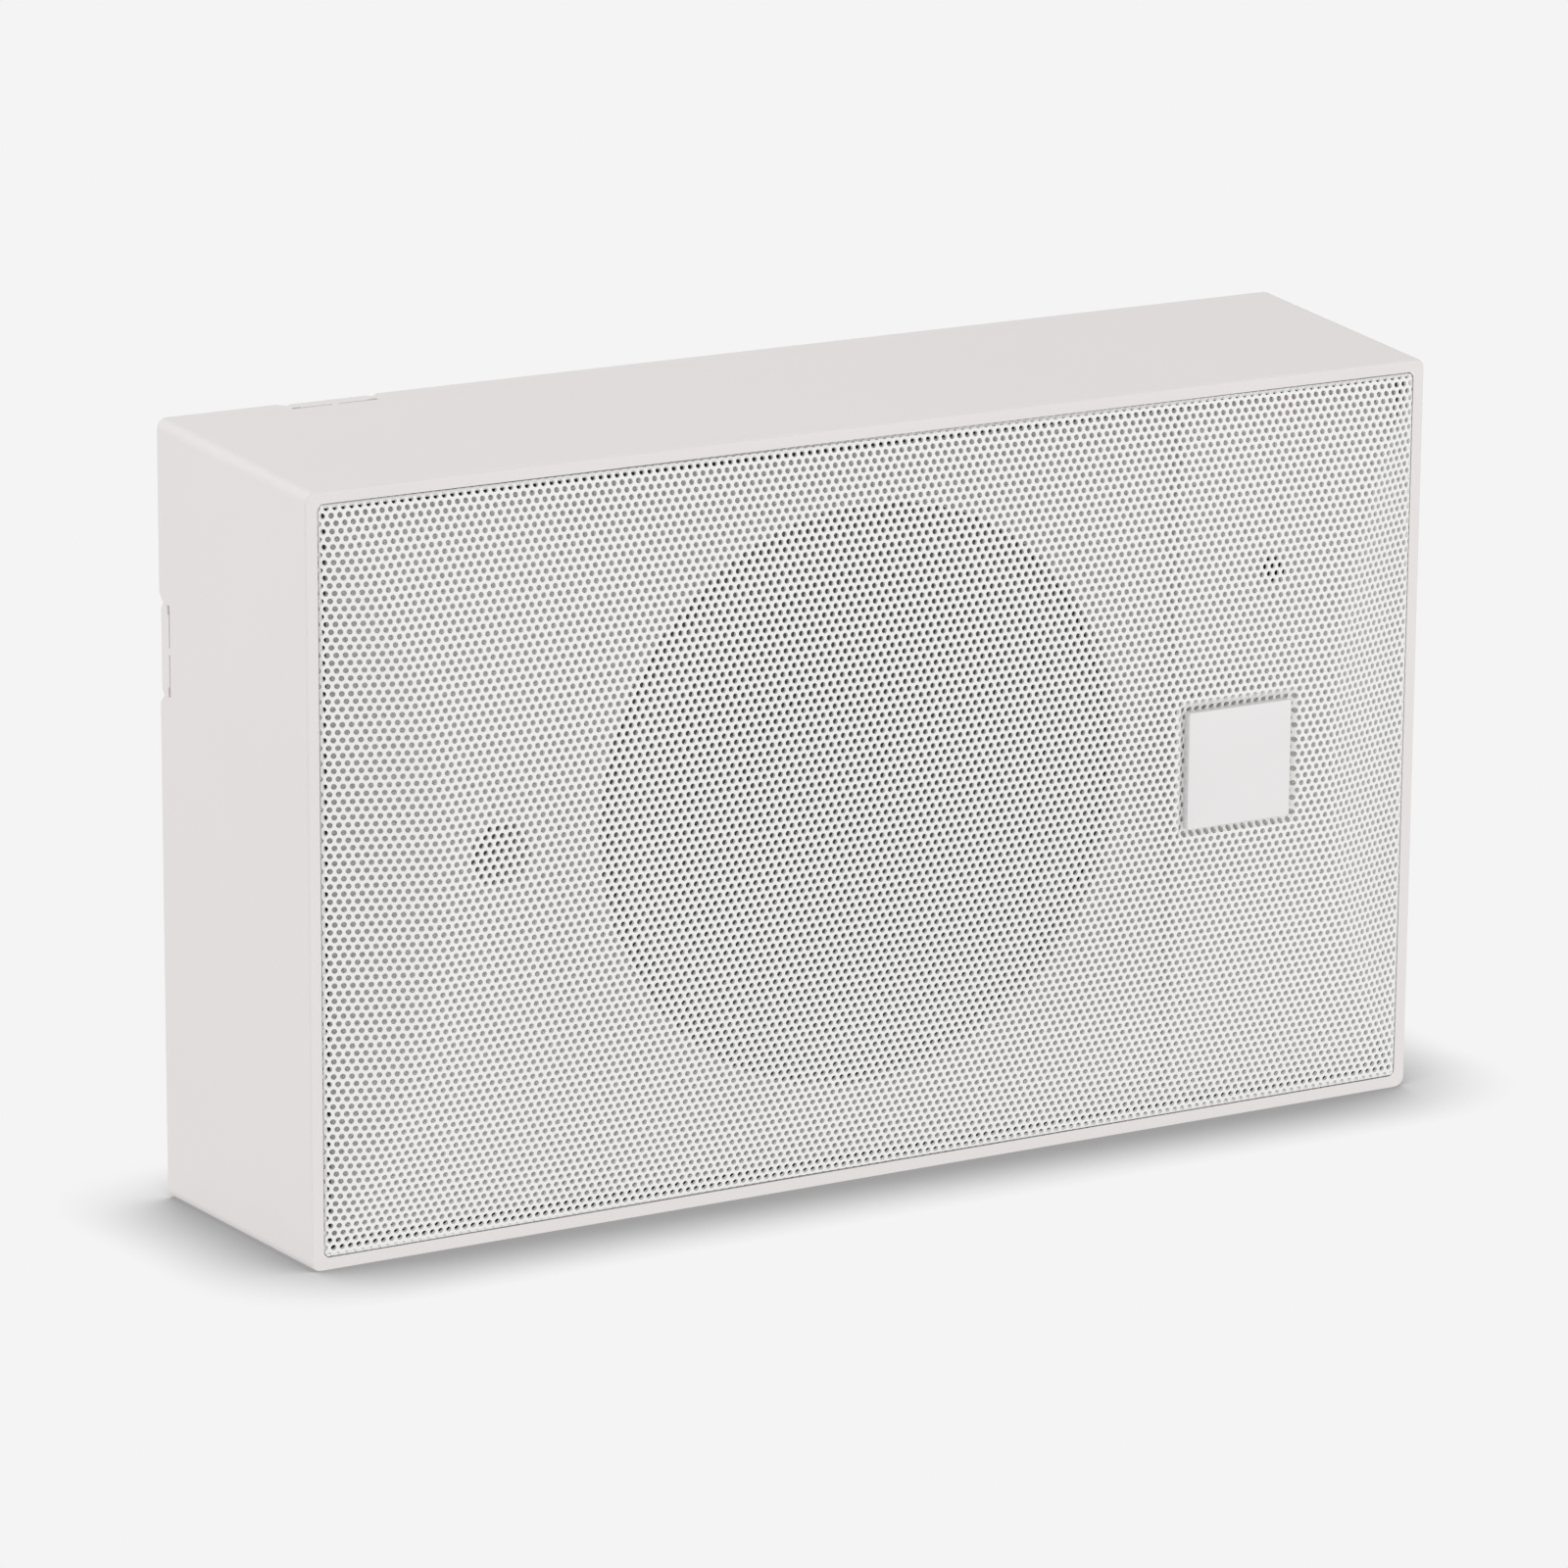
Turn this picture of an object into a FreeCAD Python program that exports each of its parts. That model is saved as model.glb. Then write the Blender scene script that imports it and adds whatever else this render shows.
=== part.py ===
import FreeCAD, Part
import math
import os

# Surface-mount loudspeaker: a moulded case with an arched perforated grille,
# a slim driver and a line transformer.
# Millimetres. The origin is the middle of the wall face, X points right, Z up, and the front faces -Y.

Vector = FreeCAD.Vector
WALL_AXIS = Vector(0, 1, 0)
ORIGIN = Vector(0, 0, 0)
SHARP_CORNERS = 2             # join style of an offset profile
MITRED_CORNERS = 1            # corner style of a swept section
edge_tolerance = 0.1          # when edges are picked by their place

# Case moulding
case_width = 291.0            # outside, at the wall
case_height = 180.5
case_depth = 69.0             # wall to the front edge band
case_draft = 2.08             # degrees, on all four sides
case_wall = 2.6
case_corner_radius = 2.4
front_edge_radius = 0.6
band_width = 2.9              # edge band round the grille

# Baffle, moulded with the case
ledge_depth = 4.0             # front edge to the grille's ledge
baffle_thickness = 3.0
recess_step = 4.0             # the square panel round the driver lies this much deeper
recess_margin = 12.5          # driver opening to the edge of that panel
driver_seat_width = 14.5
driver_seat_height = 3.0
driver_room = 3.4             # driver flange to the inside of the case

# Through wells for the wall screws
well_clearance = 2.7          # driver flange to the outside of a well
well_radius = 7.4
well_wall = 1.9
well_floor = 3.0
wall_screw_radius = 2.5

# Rear cover and the cable space behind it
cable_space = 5.5
cover_thickness = 2.2
cover_gap = 0.3
boss_radius = 4.0
boss_inset = 9.0              # boss axis to the inside of the case
boss_rib = 2.0

# Knock-outs for a surface cable, at the rear edge of the left side and of the top
knockout_length = 21.0
knockout_depth = 4.6
knockout_slit = 0.5
knockout_bridge = 1.6
knockout_slot_length = 2.2
knockout_slot_width = 1.1
knockout_notch_width = 4.0
knockout_notch_depth = 1.9
knockout_setback = 0.8
knockout_side_drop = 52.0     # top of the case to the middle of the side one
knockout_top_inset = 41.5     # left of the case to the middle of the top one

# Grille, one pressed sheet
grille_gap = 0.2
grille_sheet = 0.8
grille_lift = 0.45            # rim of the arch in front of the edge band
grille_bulge = 8.3            # rise of the arch over its rim
grille_facet = 25.0           # run of the sloping ends
grille_rim_radius = 1.1
grille_corner_radius = 1.3    # of the sheet's outline
opening_pitch = 24.0          # coarse openings stand for the fine perforation
opening_radius = 7.2
opening_margin = 2.0          # sheet left between an opening and the rim or the badge's seat

# Badge plate, left bare
badge_size = 27.6
badge_thickness = 2.2
badge_inset = 50.8            # right end of the grille to the middle of the badge
badge_seat_depth = 1.75
badge_seat_margin = 1.6
badge_edge = 0.4
stud_radius = 1.5
stud_spacing = 16.0
stud_gap = 0.1
clip_size = 8.0
clip_thickness = 0.6
stud_tip = 1.0

# Driver, clamped behind the baffle
gasket_thickness = 1.0
basket_sheet = 1.0
surround_gap = 0.3
surround_thickness = 0.8
surround_lip = 4.7
roll_radius = 4.0
cone_thickness = 0.7
cone_rim = 3.4
magnet_clearance = 1.5        # yoke to the rear cover
yoke_thickness = 3.5
magnet_thickness = 8.0
plate_thickness = 4.0
yoke_radius = 35.0
magnet_radius = 40.0
magnet_bore_radius = 20.0
plate_radius = 35.5
pole_radius = 12.2
former_gap = 0.4              # pole to the former, and winding to the top plate
former_thickness = 0.3
former_tail = 4.8             # former's end to the yoke
coil_thickness = 0.5
coil_length = 7.0
spider_rise = 7.5             # top plate to the spider
spider_radius = 42.0
spider_thickness = 0.5
spider_fold = 3.0
spider_ledge = 4.0
neck_rise = 3.3               # spider to the cone's neck
glue_gap = 0.1
basket_shoulder = 2.5
base_radius = 34.0
window_count = 6
window_share = 0.7            # part of the basket's side that is open
window_rim = 3.5
dust_cap_radius = 18.0
dust_cap_height = 4.0
dust_cap_thickness = 0.5
terminal_board_size = 20.0
terminal_board_width = 8.0
terminal_board_thickness = 1.6
lug_spacing = 10.0
lug_width = 4.0
lug_thickness = 0.8
lug_height = 7.0
tinsel_radius = 0.7
tinsel_slack = 0.6            # loop outside the basket, as a share of the run inside it
tinsel_reach = 40.0           # driver axis to where the lead meets the cone

# Screws
screw_radius = 1.5
screw_head_radius = 2.8
screw_head_height = 2.0
screw_hole_gap = 0.05         # screw to the plastic it is driven into
screw_clear = 0.3             # screw to the piece it clamps
driver_screw_length = 7.0
cover_screw_length = 12.0
driver_screw_count = 4

# Line transformer
core_length = 35.0
core_height = 29.5
core_stack = 13.0
core_leg = 11.6               # middle leg, and twice the width of the rest
window_width = 5.8
bobbin_wall = 0.8
winding_gap = 0.15
winding_bulge = 7.5
strap_thickness = 0.8
strap_foot = 8.0
strap_toe = 2.4               # upper foot, held under a moulded ledge
toe_gap = 0.1
toe_ledge = 2.0
transformer_inset = 28.9      # right-hand bosses to the middle of the transformer
transformer_drop = 21.8       # inside of the case's top to the middle of the core

# Terminals in the rear cover
pocket_width = 50.0
pocket_height = 36.0
pocket_depth = 13.0
pocket_wall = 2.0
pocket_inset_x = 36.9
pocket_inset_z = 30.6
block_width = 34.0
block_height = 15.0
block_depth = 10.0
block_ways = 3
block_wire_radius = 1.6
block_rib = 2.0
block_rib_height = 5.0

# Levels, as distances in front of the wall
y_band = -case_depth
y_grille_edge = y_band - grille_lift
y_ledge = y_band + ledge_depth
y_side_back = y_ledge + baffle_thickness
y_recess = y_ledge + recess_step
y_recess_back = y_recess + baffle_thickness
y_seat = y_recess_back + driver_seat_height
y_flange = y_seat + gasket_thickness
y_cover_back = -cable_space
y_cover = y_cover_back - cover_thickness
y_yoke_back = y_cover - magnet_clearance
y_yoke = y_yoke_back - yoke_thickness
y_magnet = y_yoke - magnet_thickness
y_plate = y_magnet - plate_thickness
y_base = y_plate - basket_sheet
y_spider = y_plate - spider_rise
y_neck = y_spider - neck_rise

# Places and radii that follow from the sizes
draft_run = math.tan(math.radians(case_draft))
inner_half_height = case_height / 2 + y_recess_back * draft_run - case_wall
flange_radius = inner_half_height - driver_room
driver_opening_radius = flange_radius - driver_seat_width
driver_bolt_radius = (flange_radius + driver_opening_radius) / 2
recess_half = driver_opening_radius + recess_margin
well_outer_radius = well_radius + well_wall
well_x = flange_radius + well_clearance + well_outer_radius
boss_x = case_width / 2 - case_wall - boss_inset
boss_z = case_height / 2 - case_wall - boss_inset
boss_places = [(sx * boss_x, sz * boss_z) for sx in (-1, 1) for sz in (-1, 1)]
opening_width = case_width + 2 * y_band * draft_run - 2 * band_width
opening_height = case_height + 2 * y_band * draft_run - 2 * band_width
grille_half_width = opening_width / 2 - grille_gap
grille_half_height = opening_height / 2 - grille_gap
badge_x = grille_half_width - badge_inset
y_badge_seat = y_grille_edge - grille_bulge + badge_seat_depth
lip_radius = driver_opening_radius - surround_gap
roll_centre = lip_radius - surround_lip - roll_radius
cone_radius = roll_centre - roll_radius - surround_gap
cone_edge = cone_radius - cone_rim
basket_side = roll_centre + roll_radius
basket_foot = spider_radius + basket_shoulder
window_inner = basket_foot + window_rim / 2
window_outer = basket_side - window_rim
former_radius = pole_radius + former_gap
former_outer = former_radius + former_thickness
coil_outer = former_outer + coil_thickness
gap_radius = coil_outer + former_gap
screw_hole = screw_radius + screw_hole_gap
transformer_x = boss_x - transformer_inset
transformer_z = inner_half_height - transformer_drop
y_core_back = y_side_back + core_height
transformer_screw_z = transformer_z - core_length / 2 - strap_thickness - strap_foot / 2
pocket_x = -(boss_x - pocket_inset_x)
pocket_z = boss_z - pocket_inset_z
y_pocket_floor = y_cover - pocket_depth + pocket_wall


def block(x_range, y_range, z_range):
    """A box between two corners."""
    low = Vector(x_range[0], y_range[0], z_range[0])
    high = Vector(x_range[1], y_range[1], z_range[1])
    size = high - low
    return Part.makeBox(size.x, size.y, size.z, low)


def about(middle, size):
    """The range of a length that is centred on a value."""
    return (middle - size / 2, middle + size / 2)


def rod(radius, x, z, y_range):
    """A round bar from front to back."""
    return Part.makeCylinder(radius, y_range[1] - y_range[0], Vector(x, y_range[0], z), WALL_AXIS)


def hexagon_bar(radius, x, z, y_range):
    """A six-sided bar from front to back, with corners above and below its axis."""
    angles = [math.pi / 6 + step * math.pi / 3 for step in range(7)]
    corners = [Vector(x + radius * math.cos(a), y_range[0], z + radius * math.sin(a)) for a in angles]
    return Part.Face(Part.makePolygon(corners)).extrude(Vector(0, y_range[1] - y_range[0], 0))


def rounded_outline(width, height, radius, y):
    """A rectangle with round corners, centred, in a plane parallel to the wall."""
    edges = []
    last = None
    first = None
    for quarter in range(4):
        start_angle = quarter * math.pi / 2
        middle_angle = start_angle + math.pi / 4
        side_x = math.copysign(1, math.cos(middle_angle))
        side_z = math.copysign(1, math.sin(middle_angle))
        centre = Vector(side_x * (width / 2 - radius), y, side_z * (height / 2 - radius))
        start, middle, end = [
            centre + Vector(radius * math.cos(angle), 0, radius * math.sin(angle))
            for angle in (start_angle, middle_angle, start_angle + math.pi / 2)
        ]
        if last:
            edges.append(Part.makeLine(last, start))
        edges.append(Part.Arc(start, middle, end).toShape())
        first = first or start
        last = end
    edges.append(Part.makeLine(last, first))
    return Part.Wire(edges)


def case_body(inset, y_front, y_back):
    """The tapered form of the case, moved in by an inset, between two levels."""
    front_w, back_w = [case_width / 2 + y * draft_run - inset for y in (y_front, y_back)]
    front_h, back_h = [case_height / 2 + y * draft_run - inset for y in (y_front, y_back)]
    return Part.makeWedge(
        -front_w, y_front, -front_h, -back_h, -back_w, front_w, y_back, front_h, back_h, back_w
    )


def turned_sheet(points, thickness):
    """A spun or pressed sheet: a profile line with its thickness towards the wall."""
    line = Part.makePolygon([Vector(radius, level, 0) for radius, level in points])
    section = line.makeOffset2D(thickness, SHARP_CORNERS, True, True)
    return section.revolve(ORIGIN, WALL_AXIS, 360)


def ring(outer, inner, y_range):
    """A flat ring on the driver's axis."""
    return rod(outer, 0, 0, y_range).cut(rod(inner, 0, 0, y_range))


def bolt_places(radius, count):
    """Places on a circle, the first at half a step."""
    angles = [(i + 0.5) * 2 * math.pi / count for i in range(count)]
    return [(radius * math.cos(a), radius * math.sin(a)) for a in angles]


def screw(x, z, y_seat_face, length, facing=1):
    """A pan-head screw: the head stands on its seat towards the wall, or away from it."""
    head_end = y_seat_face + facing * screw_head_height
    tip = y_seat_face - facing * length
    head = rod(screw_head_radius, x, z, sorted((y_seat_face, head_end)))
    return head.fuse(rod(screw_radius, x, z, sorted((y_seat_face, tip)))).removeSplitter()


def straight_runs(points, radius):
    """A round lead along straight runs with mitred corners."""
    section = Part.Wire(Part.makeCircle(radius, points[0], points[1] - points[0]))
    return Part.Wire(Part.makePolygon(points)).makePipeShell([section], True, False, MITRED_CORNERS)


def knockout():
    """The cuts of one knock-out, for a wall that faces +Z and has its rear edge along X at the origin."""
    reach = 2 * case_wall
    through = (-reach, reach)
    half = knockout_length / 2
    slit_front = -knockout_depth - knockout_slit / 2
    slit_level = (slit_front, slit_front + knockout_slit)
    slot_level = (slit_front, slit_front + knockout_slot_width)
    cuts = [block((-half, half), (-knockout_setback, reach), through)]
    for side in (-1, 1):
        cuts.append(block(sorted((side * knockout_bridge / 2, side * half)), slit_level, through))
        cuts.append(block(sorted((side * (half - knockout_slot_length), side * half)), slot_level, through))
        notch = Part.makePolygon(
            [
                Vector(side * half - knockout_notch_width / 2, 0, -reach),
                Vector(side * half, -knockout_notch_depth, -reach),
                Vector(side * half + knockout_notch_width / 2, 0, -reach),
                Vector(side * half - knockout_notch_width / 2, 0, -reach),
            ]
        )
        cuts.append(Part.Face(notch).extrude(Vector(0, 0, 2 * reach)))
    return cuts[0].multiFuse(cuts[1:])


def make_cabinet():
    """Case walls, edge band, grille ledge, stepped baffle, wells and bosses, in one moulding."""
    body = case_body(0, y_band, 0)
    side_edges = [edge for edge in body.Edges if edge.BoundBox.YLength > case_depth / 2]
    body = body.makeFillet(case_corner_radius, side_edges)
    front_edges = [edge for edge in body.Edges if abs(edge.BoundBox.YMax - y_band) < edge_tolerance]
    body = body.makeFillet(front_edge_radius, front_edges)
    hollow = case_body(case_wall, y_side_back, case_wall)
    step_half = recess_half + baffle_thickness
    step = block(about(0, 2 * step_half), (y_side_back, y_recess_back), about(0, 2 * step_half))
    body = body.cut(hollow.cut(step))
    rebate_radius = grille_corner_radius + grille_gap
    rebate = Part.Face(rounded_outline(opening_width, opening_height, rebate_radius, y_ledge))
    body = body.cut(rebate.extrude(Vector(0, -2 * ledge_depth, 0)))
    body = body.cut(block(about(0, 2 * recess_half), (y_band, y_recess), about(0, 2 * recess_half)))

    seat = rod(flange_radius, 0, 0, (y_recess_back, y_seat))
    body = body.fuse(seat).cut(rod(driver_opening_radius, 0, 0, (y_band, y_flange)))
    for x, z in boss_places:
        body = body.fuse(rod(boss_radius, x, z, (y_side_back, y_cover)))
        wall_x = math.copysign(case_width / 2 - case_wall / 2 + y_side_back * draft_run, x)
        rib = block(sorted((x, wall_x)), (y_side_back, y_cover), about(z, boss_rib))
        body = body.fuse(rib)
    for side in (-1, 1):
        body = body.fuse(rod(well_outer_radius, side * well_x, 0, (y_side_back, 0)))

    toe_z = transformer_z + core_length / 2 + strap_thickness
    toe_level = y_side_back + strap_thickness + toe_gap
    toe_hold = block(
        about(transformer_x, core_stack),
        (toe_level, toe_level + toe_ledge),
        (toe_z + toe_gap, inner_half_height + case_wall / 2),
    )
    body = body.fuse(toe_hold)

    for side in (-1, 1):
        body = body.cut(rod(well_radius, side * well_x, 0, (y_band, -well_floor)))
        body = body.cut(rod(wall_screw_radius, side * well_x, 0, (y_band, case_wall)))
    for x, z in boss_places:
        body = body.cut(rod(screw_hole, x, z, (y_cover_back - cover_screw_length, 0)))
    for x, z in bolt_places(driver_bolt_radius, driver_screw_count):
        body = body.cut(rod(screw_hole, x, z, (y_flange + basket_sheet - driver_screw_length, y_flange)))
    baffle_level = (y_ledge, y_side_back)
    body = body.cut(rod(screw_radius + screw_clear, transformer_x, transformer_screw_z, baffle_level))

    top_cut = knockout()
    top_cut.translate(Vector(knockout_top_inset - case_width / 2, 0, case_height / 2))
    side_cut = knockout()
    side_cut.rotate(ORIGIN, WALL_AXIS, -90)
    side_cut.translate(Vector(-case_width / 2, 0, case_height / 2 - knockout_side_drop))
    return body.cut(top_cut).cut(side_cut).removeSplitter()


def grille_form(inset):
    """The grille's outer form, or its inside when moved in: an arch met by two sloping ends."""
    half_w = grille_half_width - inset
    half_h = grille_half_height - inset
    y_open = y_ledge + inset
    crown = y_grille_edge - grille_bulge + inset
    rim_radius = grille_rim_radius - inset
    arch_radius = (grille_half_height ** 2 + grille_bulge ** 2) / (2 * grille_bulge) - inset
    arch_edge = crown + arch_radius - math.sqrt(arch_radius ** 2 - half_h ** 2)
    slope = math.atan2(grille_bulge, grille_facet)
    facet_edge = y_grille_edge + inset / math.cos(slope) - inset * math.tan(slope)
    beyond = facet_edge - grille_bulge
    facet_run = grille_facet * (facet_edge - beyond) / grille_bulge

    arch = Part.Wire(
        [
            Part.makeLine(Vector(-half_w, y_open, half_h), Vector(-half_w, y_open, -half_h)),
            Part.makeLine(Vector(-half_w, y_open, -half_h), Vector(-half_w, arch_edge, -half_h)),
            Part.Arc(
                Vector(-half_w, arch_edge, -half_h),
                Vector(-half_w, crown, 0),
                Vector(-half_w, arch_edge, half_h),
            ).toShape(),
            Part.makeLine(Vector(-half_w, arch_edge, half_h), Vector(-half_w, y_open, half_h)),
        ]
    )
    arched = Part.Face(arch).extrude(Vector(2 * half_w, 0, 0))
    rims = [edge for edge in arched.Edges if is_rim(edge, arch_edge, 2 * half_w)]
    arched = arched.makeFillet(rim_radius, rims)

    ends = [
        (half_w, y_open),
        (half_w, facet_edge),
        (half_w - facet_run, beyond),
        (facet_run - half_w, beyond),
        (-half_w, facet_edge),
        (-half_w, y_open),
    ]
    outline = Part.makePolygon([Vector(x, y, -half_h) for x, y in ends + ends[:1]])
    roof = Part.Face(outline).extrude(Vector(0, 0, 2 * half_h))
    rims = [edge for edge in roof.Edges if is_rim(edge, facet_edge, 2 * half_h)]
    roof = roof.makeFillet(rim_radius, rims)

    corner_radius = grille_corner_radius - inset
    plan = Part.Face(rounded_outline(2 * half_w, 2 * half_h, corner_radius, y_open))
    return arched.common(roof).common(plan.extrude(Vector(0, 2 * beyond, 0)))


def is_rim(edge, level, length):
    """True for a straight edge of a given length that lies in a given level."""
    box = edge.BoundBox
    flat = abs(box.YMax - level) < edge_tolerance and abs(box.YMin - level) < edge_tolerance
    return flat and abs(edge.Length - length) < edge_tolerance


def opening_places():
    """Staggered rows of openings that stay clear of the rim and of the badge's seat."""
    row_step = opening_pitch * math.sqrt(3) / 2
    reach_x = grille_half_width - grille_rim_radius - opening_margin - opening_radius
    reach_z = grille_half_height - grille_rim_radius - opening_margin - opening_radius
    seat_half = badge_size / 2 + badge_seat_margin + opening_margin + opening_radius
    rows = int(reach_z // row_step)
    places = []
    for row in range(-rows, rows + 1):
        shift = opening_pitch / 2 * (row % 2)
        columns = int((reach_x + shift) // opening_pitch)
        for column in range(-columns, columns + 1):
            x = column * opening_pitch + shift
            z = row * row_step
            on_seat = abs(x - badge_x) < seat_half and abs(z) < seat_half
            if abs(x) <= reach_x and not on_seat:
                places.append((x, z))
    return places


def make_grille():
    """Pressed sheet: arch, sloping ends, turned-in rim, openings and the flat seat of the badge."""
    sheet = grille_form(0).cut(grille_form(grille_sheet))
    seat_size = badge_size + 2 * badge_seat_margin
    y_front = y_band - 2 * grille_bulge
    pad_size = seat_size + 2 * grille_sheet
    y_pad_back = y_badge_seat + grille_sheet
    pad_level = (y_badge_seat - badge_seat_depth / 2, y_pad_back)
    sheet = sheet.fuse(block(about(badge_x, pad_size), pad_level, about(0, pad_size)))
    sheet = sheet.cut(block(about(badge_x, seat_size), (y_front, y_badge_seat), about(0, seat_size)))
    cuts = [hexagon_bar(opening_radius, x, z, (y_front, y_ledge)) for x, z in opening_places()]
    for side in (-1, 1):
        cuts.append(rod(stud_radius + stud_gap, badge_x, side * stud_spacing / 2, (y_front, y_ledge)))
    return sheet.cut(Part.makeCompound(cuts)).removeSplitter()


def make_badge():
    """Bare flat square plate with crisp edges and two studs that pass through the sheet."""
    y_face = y_badge_seat - badge_thickness
    plate = block(about(badge_x, badge_size), (y_face, y_badge_seat), about(0, badge_size))
    face_edges = [edge for edge in plate.Edges if abs(edge.BoundBox.YMax - y_face) < edge_tolerance]
    plate = plate.makeChamfer(badge_edge, face_edges)
    stud_end = y_badge_seat + grille_sheet + clip_thickness + stud_tip
    for side in (-1, 1):
        plate = plate.fuse(rod(stud_radius, badge_x, side * stud_spacing / 2, (y_badge_seat, stud_end)))
    return plate.removeSplitter()


def make_badge_clips():
    """Push-on spring washers on the badge's studs, behind the sheet."""
    y_range = (y_badge_seat + grille_sheet, y_badge_seat + grille_sheet + clip_thickness)
    clips = []
    for side in (-1, 1):
        z = side * stud_spacing / 2
        plate = block(about(badge_x, clip_size), y_range, about(z, clip_size))
        clips.append(plate.cut(rod(stud_radius, badge_x, z, y_range)))
    return Part.makeCompound(clips)


def make_rear_cover():
    """Plate inside the case walls, with holes for the wells and a pocket for the terminals."""
    plate = case_body(case_wall + cover_gap, y_cover, y_cover_back)
    pocket = block(
        about(pocket_x, pocket_width + 2 * pocket_wall),
        (y_cover - pocket_depth, y_cover_back),
        about(pocket_z, pocket_height + 2 * pocket_wall),
    )
    plate = plate.fuse(pocket)
    space = block(about(pocket_x, pocket_width), (y_pocket_floor, 0), about(pocket_z, pocket_height))
    plate = plate.cut(space)
    for side in (-1, 1):
        edge = pocket_x + side * block_width / 2
        rib = block(
            sorted((edge, edge + side * block_rib)),
            (y_pocket_floor, y_pocket_floor + block_rib_height),
            about(pocket_z, block_height),
        )
        plate = plate.fuse(rib)
        plate = plate.cut(rod(well_outer_radius + cover_gap, side * well_x, 0, (y_cover, 0)))
    for x, z in boss_places:
        plate = plate.cut(rod(screw_radius + screw_clear, x, z, (y_cover, 0)))
    return plate.removeSplitter()


def make_rear_cover_screws():
    return Part.makeCompound([screw(x, z, y_cover_back, cover_screw_length) for x, z in boss_places])


def make_driver_gasket():
    """Foam ring between the driver's flange and the baffle."""
    return ring(driver_bolt_radius - screw_radius - screw_clear, driver_opening_radius, (y_seat, y_flange))


def make_driver_basket():
    """Pressed steel frame: flange, open sloping side, spider ledge and base."""
    basket = turned_sheet(
        [
            (flange_radius, y_flange),
            (basket_side, y_flange),
            (basket_foot, y_spider),
            (spider_radius - spider_ledge, y_spider),
            (base_radius, y_base),
            (gap_radius, y_base),
        ],
        basket_sheet,
    )
    step = 360 / window_count
    open_angle = step * window_share
    y_front = y_flange + basket_sheet
    corners = [
        (window_inner, y_front),
        (window_outer, y_front),
        (window_outer, y_plate),
        (window_inner, y_plate),
    ]
    outline = Part.makePolygon([Vector(radius, level, 0) for radius, level in corners + corners[:1]])
    for index in range(window_count):
        window = Part.Face(outline).revolve(ORIGIN, WALL_AXIS, open_angle)
        window.rotate(ORIGIN, WALL_AXIS, index * step - open_angle / 2)
        basket = basket.cut(window)
    for x, z in bolt_places(driver_bolt_radius, driver_screw_count):
        basket = basket.cut(rod(screw_radius + screw_clear, x, z, (y_flange, y_flange + basket_sheet)))
    return basket.removeSplitter()


def make_driver_surround():
    """Raised roll between the basket's flange and the cone, with a flat lip at each side."""
    lip = y_flange - surround_thickness
    crest = lip - roll_radius
    return turned_sheet(
        [
            (lip_radius, lip),
            (roll_centre + roll_radius, lip),
            (roll_centre + roll_radius / 2, crest),
            (roll_centre - roll_radius / 2, crest),
            (roll_centre - roll_radius, lip),
            (cone_edge, lip),
        ],
        surround_thickness,
    )


def cone_level(radius):
    """Level of a straight line from the cone's edge to its neck."""
    neck = former_outer + glue_gap
    return y_flange + (y_neck - y_flange) * (cone_edge - radius) / (cone_edge - neck)


def make_driver_cone():
    """Paper cone with a flat rim under the surround."""
    neck = former_outer + glue_gap
    return turned_sheet([(cone_radius, y_flange), (cone_edge, y_flange), (neck, y_neck)], cone_thickness)


def make_dust_cap():
    """Shallow cap glued over the cone's neck."""
    foot = cone_level(dust_cap_radius) - glue_gap
    crown = foot - dust_cap_height
    inside = dust_cap_radius - dust_cap_thickness
    cap = rod(dust_cap_radius, 0, 0, (crown, foot))
    return cap.cut(rod(inside, 0, 0, (crown + dust_cap_thickness, foot)))


def make_voice_coil():
    """Paper former with its winding, centred in the magnet's gap."""
    former = ring(former_outer, former_radius, (y_neck - glue_gap, y_yoke - former_tail))
    middle = y_plate + plate_thickness / 2
    winding = ring(coil_outer, former_outer, about(middle, coil_length))
    return former.fuse(winding).removeSplitter()


def make_spider():
    """Cloth disc that centres the coil: a flat rim, a raised fold and a flat middle."""
    inner = former_outer + glue_gap
    flat = spider_radius - spider_ledge
    fold = flat - spider_fold
    front = y_spider - spider_thickness
    raised = front - spider_fold / 2
    points = [(spider_radius, front), (flat, front), (fold, raised), (inner, raised)]
    return turned_sheet(points, spider_thickness)


def make_top_plate():
    return ring(plate_radius, gap_radius, (y_plate, y_magnet))


def make_magnet():
    return ring(magnet_radius, magnet_bore_radius, (y_magnet, y_yoke))


def make_yoke():
    """Back plate with the pole that stands in the coil."""
    back_plate = rod(yoke_radius, 0, 0, (y_yoke, y_yoke_back))
    return back_plate.fuse(rod(pole_radius, 0, 0, (y_plate, y_yoke))).removeSplitter()


def board_range():
    """The driver's terminal board lies on the back of the flange, on the transformer's side."""
    outer = flange_radius - surround_gap
    return (outer - terminal_board_width, outer)


def make_terminal_board():
    y_range = (y_flange + basket_sheet, y_flange + basket_sheet + terminal_board_thickness)
    return block(board_range(), y_range, about(0, terminal_board_size))


def make_terminal_lugs():
    """Two blades that stand on the terminal board."""
    y_foot = y_flange + basket_sheet + terminal_board_thickness
    x_middle = sum(board_range()) / 2
    y_range = (y_foot, y_foot + lug_height)
    x_range = about(x_middle, lug_thickness)
    lug_places = [about(side * lug_spacing / 2, lug_width) for side in (-1, 1)]
    return Part.makeCompound([block(x_range, y_range, z_range) for z_range in lug_places])


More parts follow.
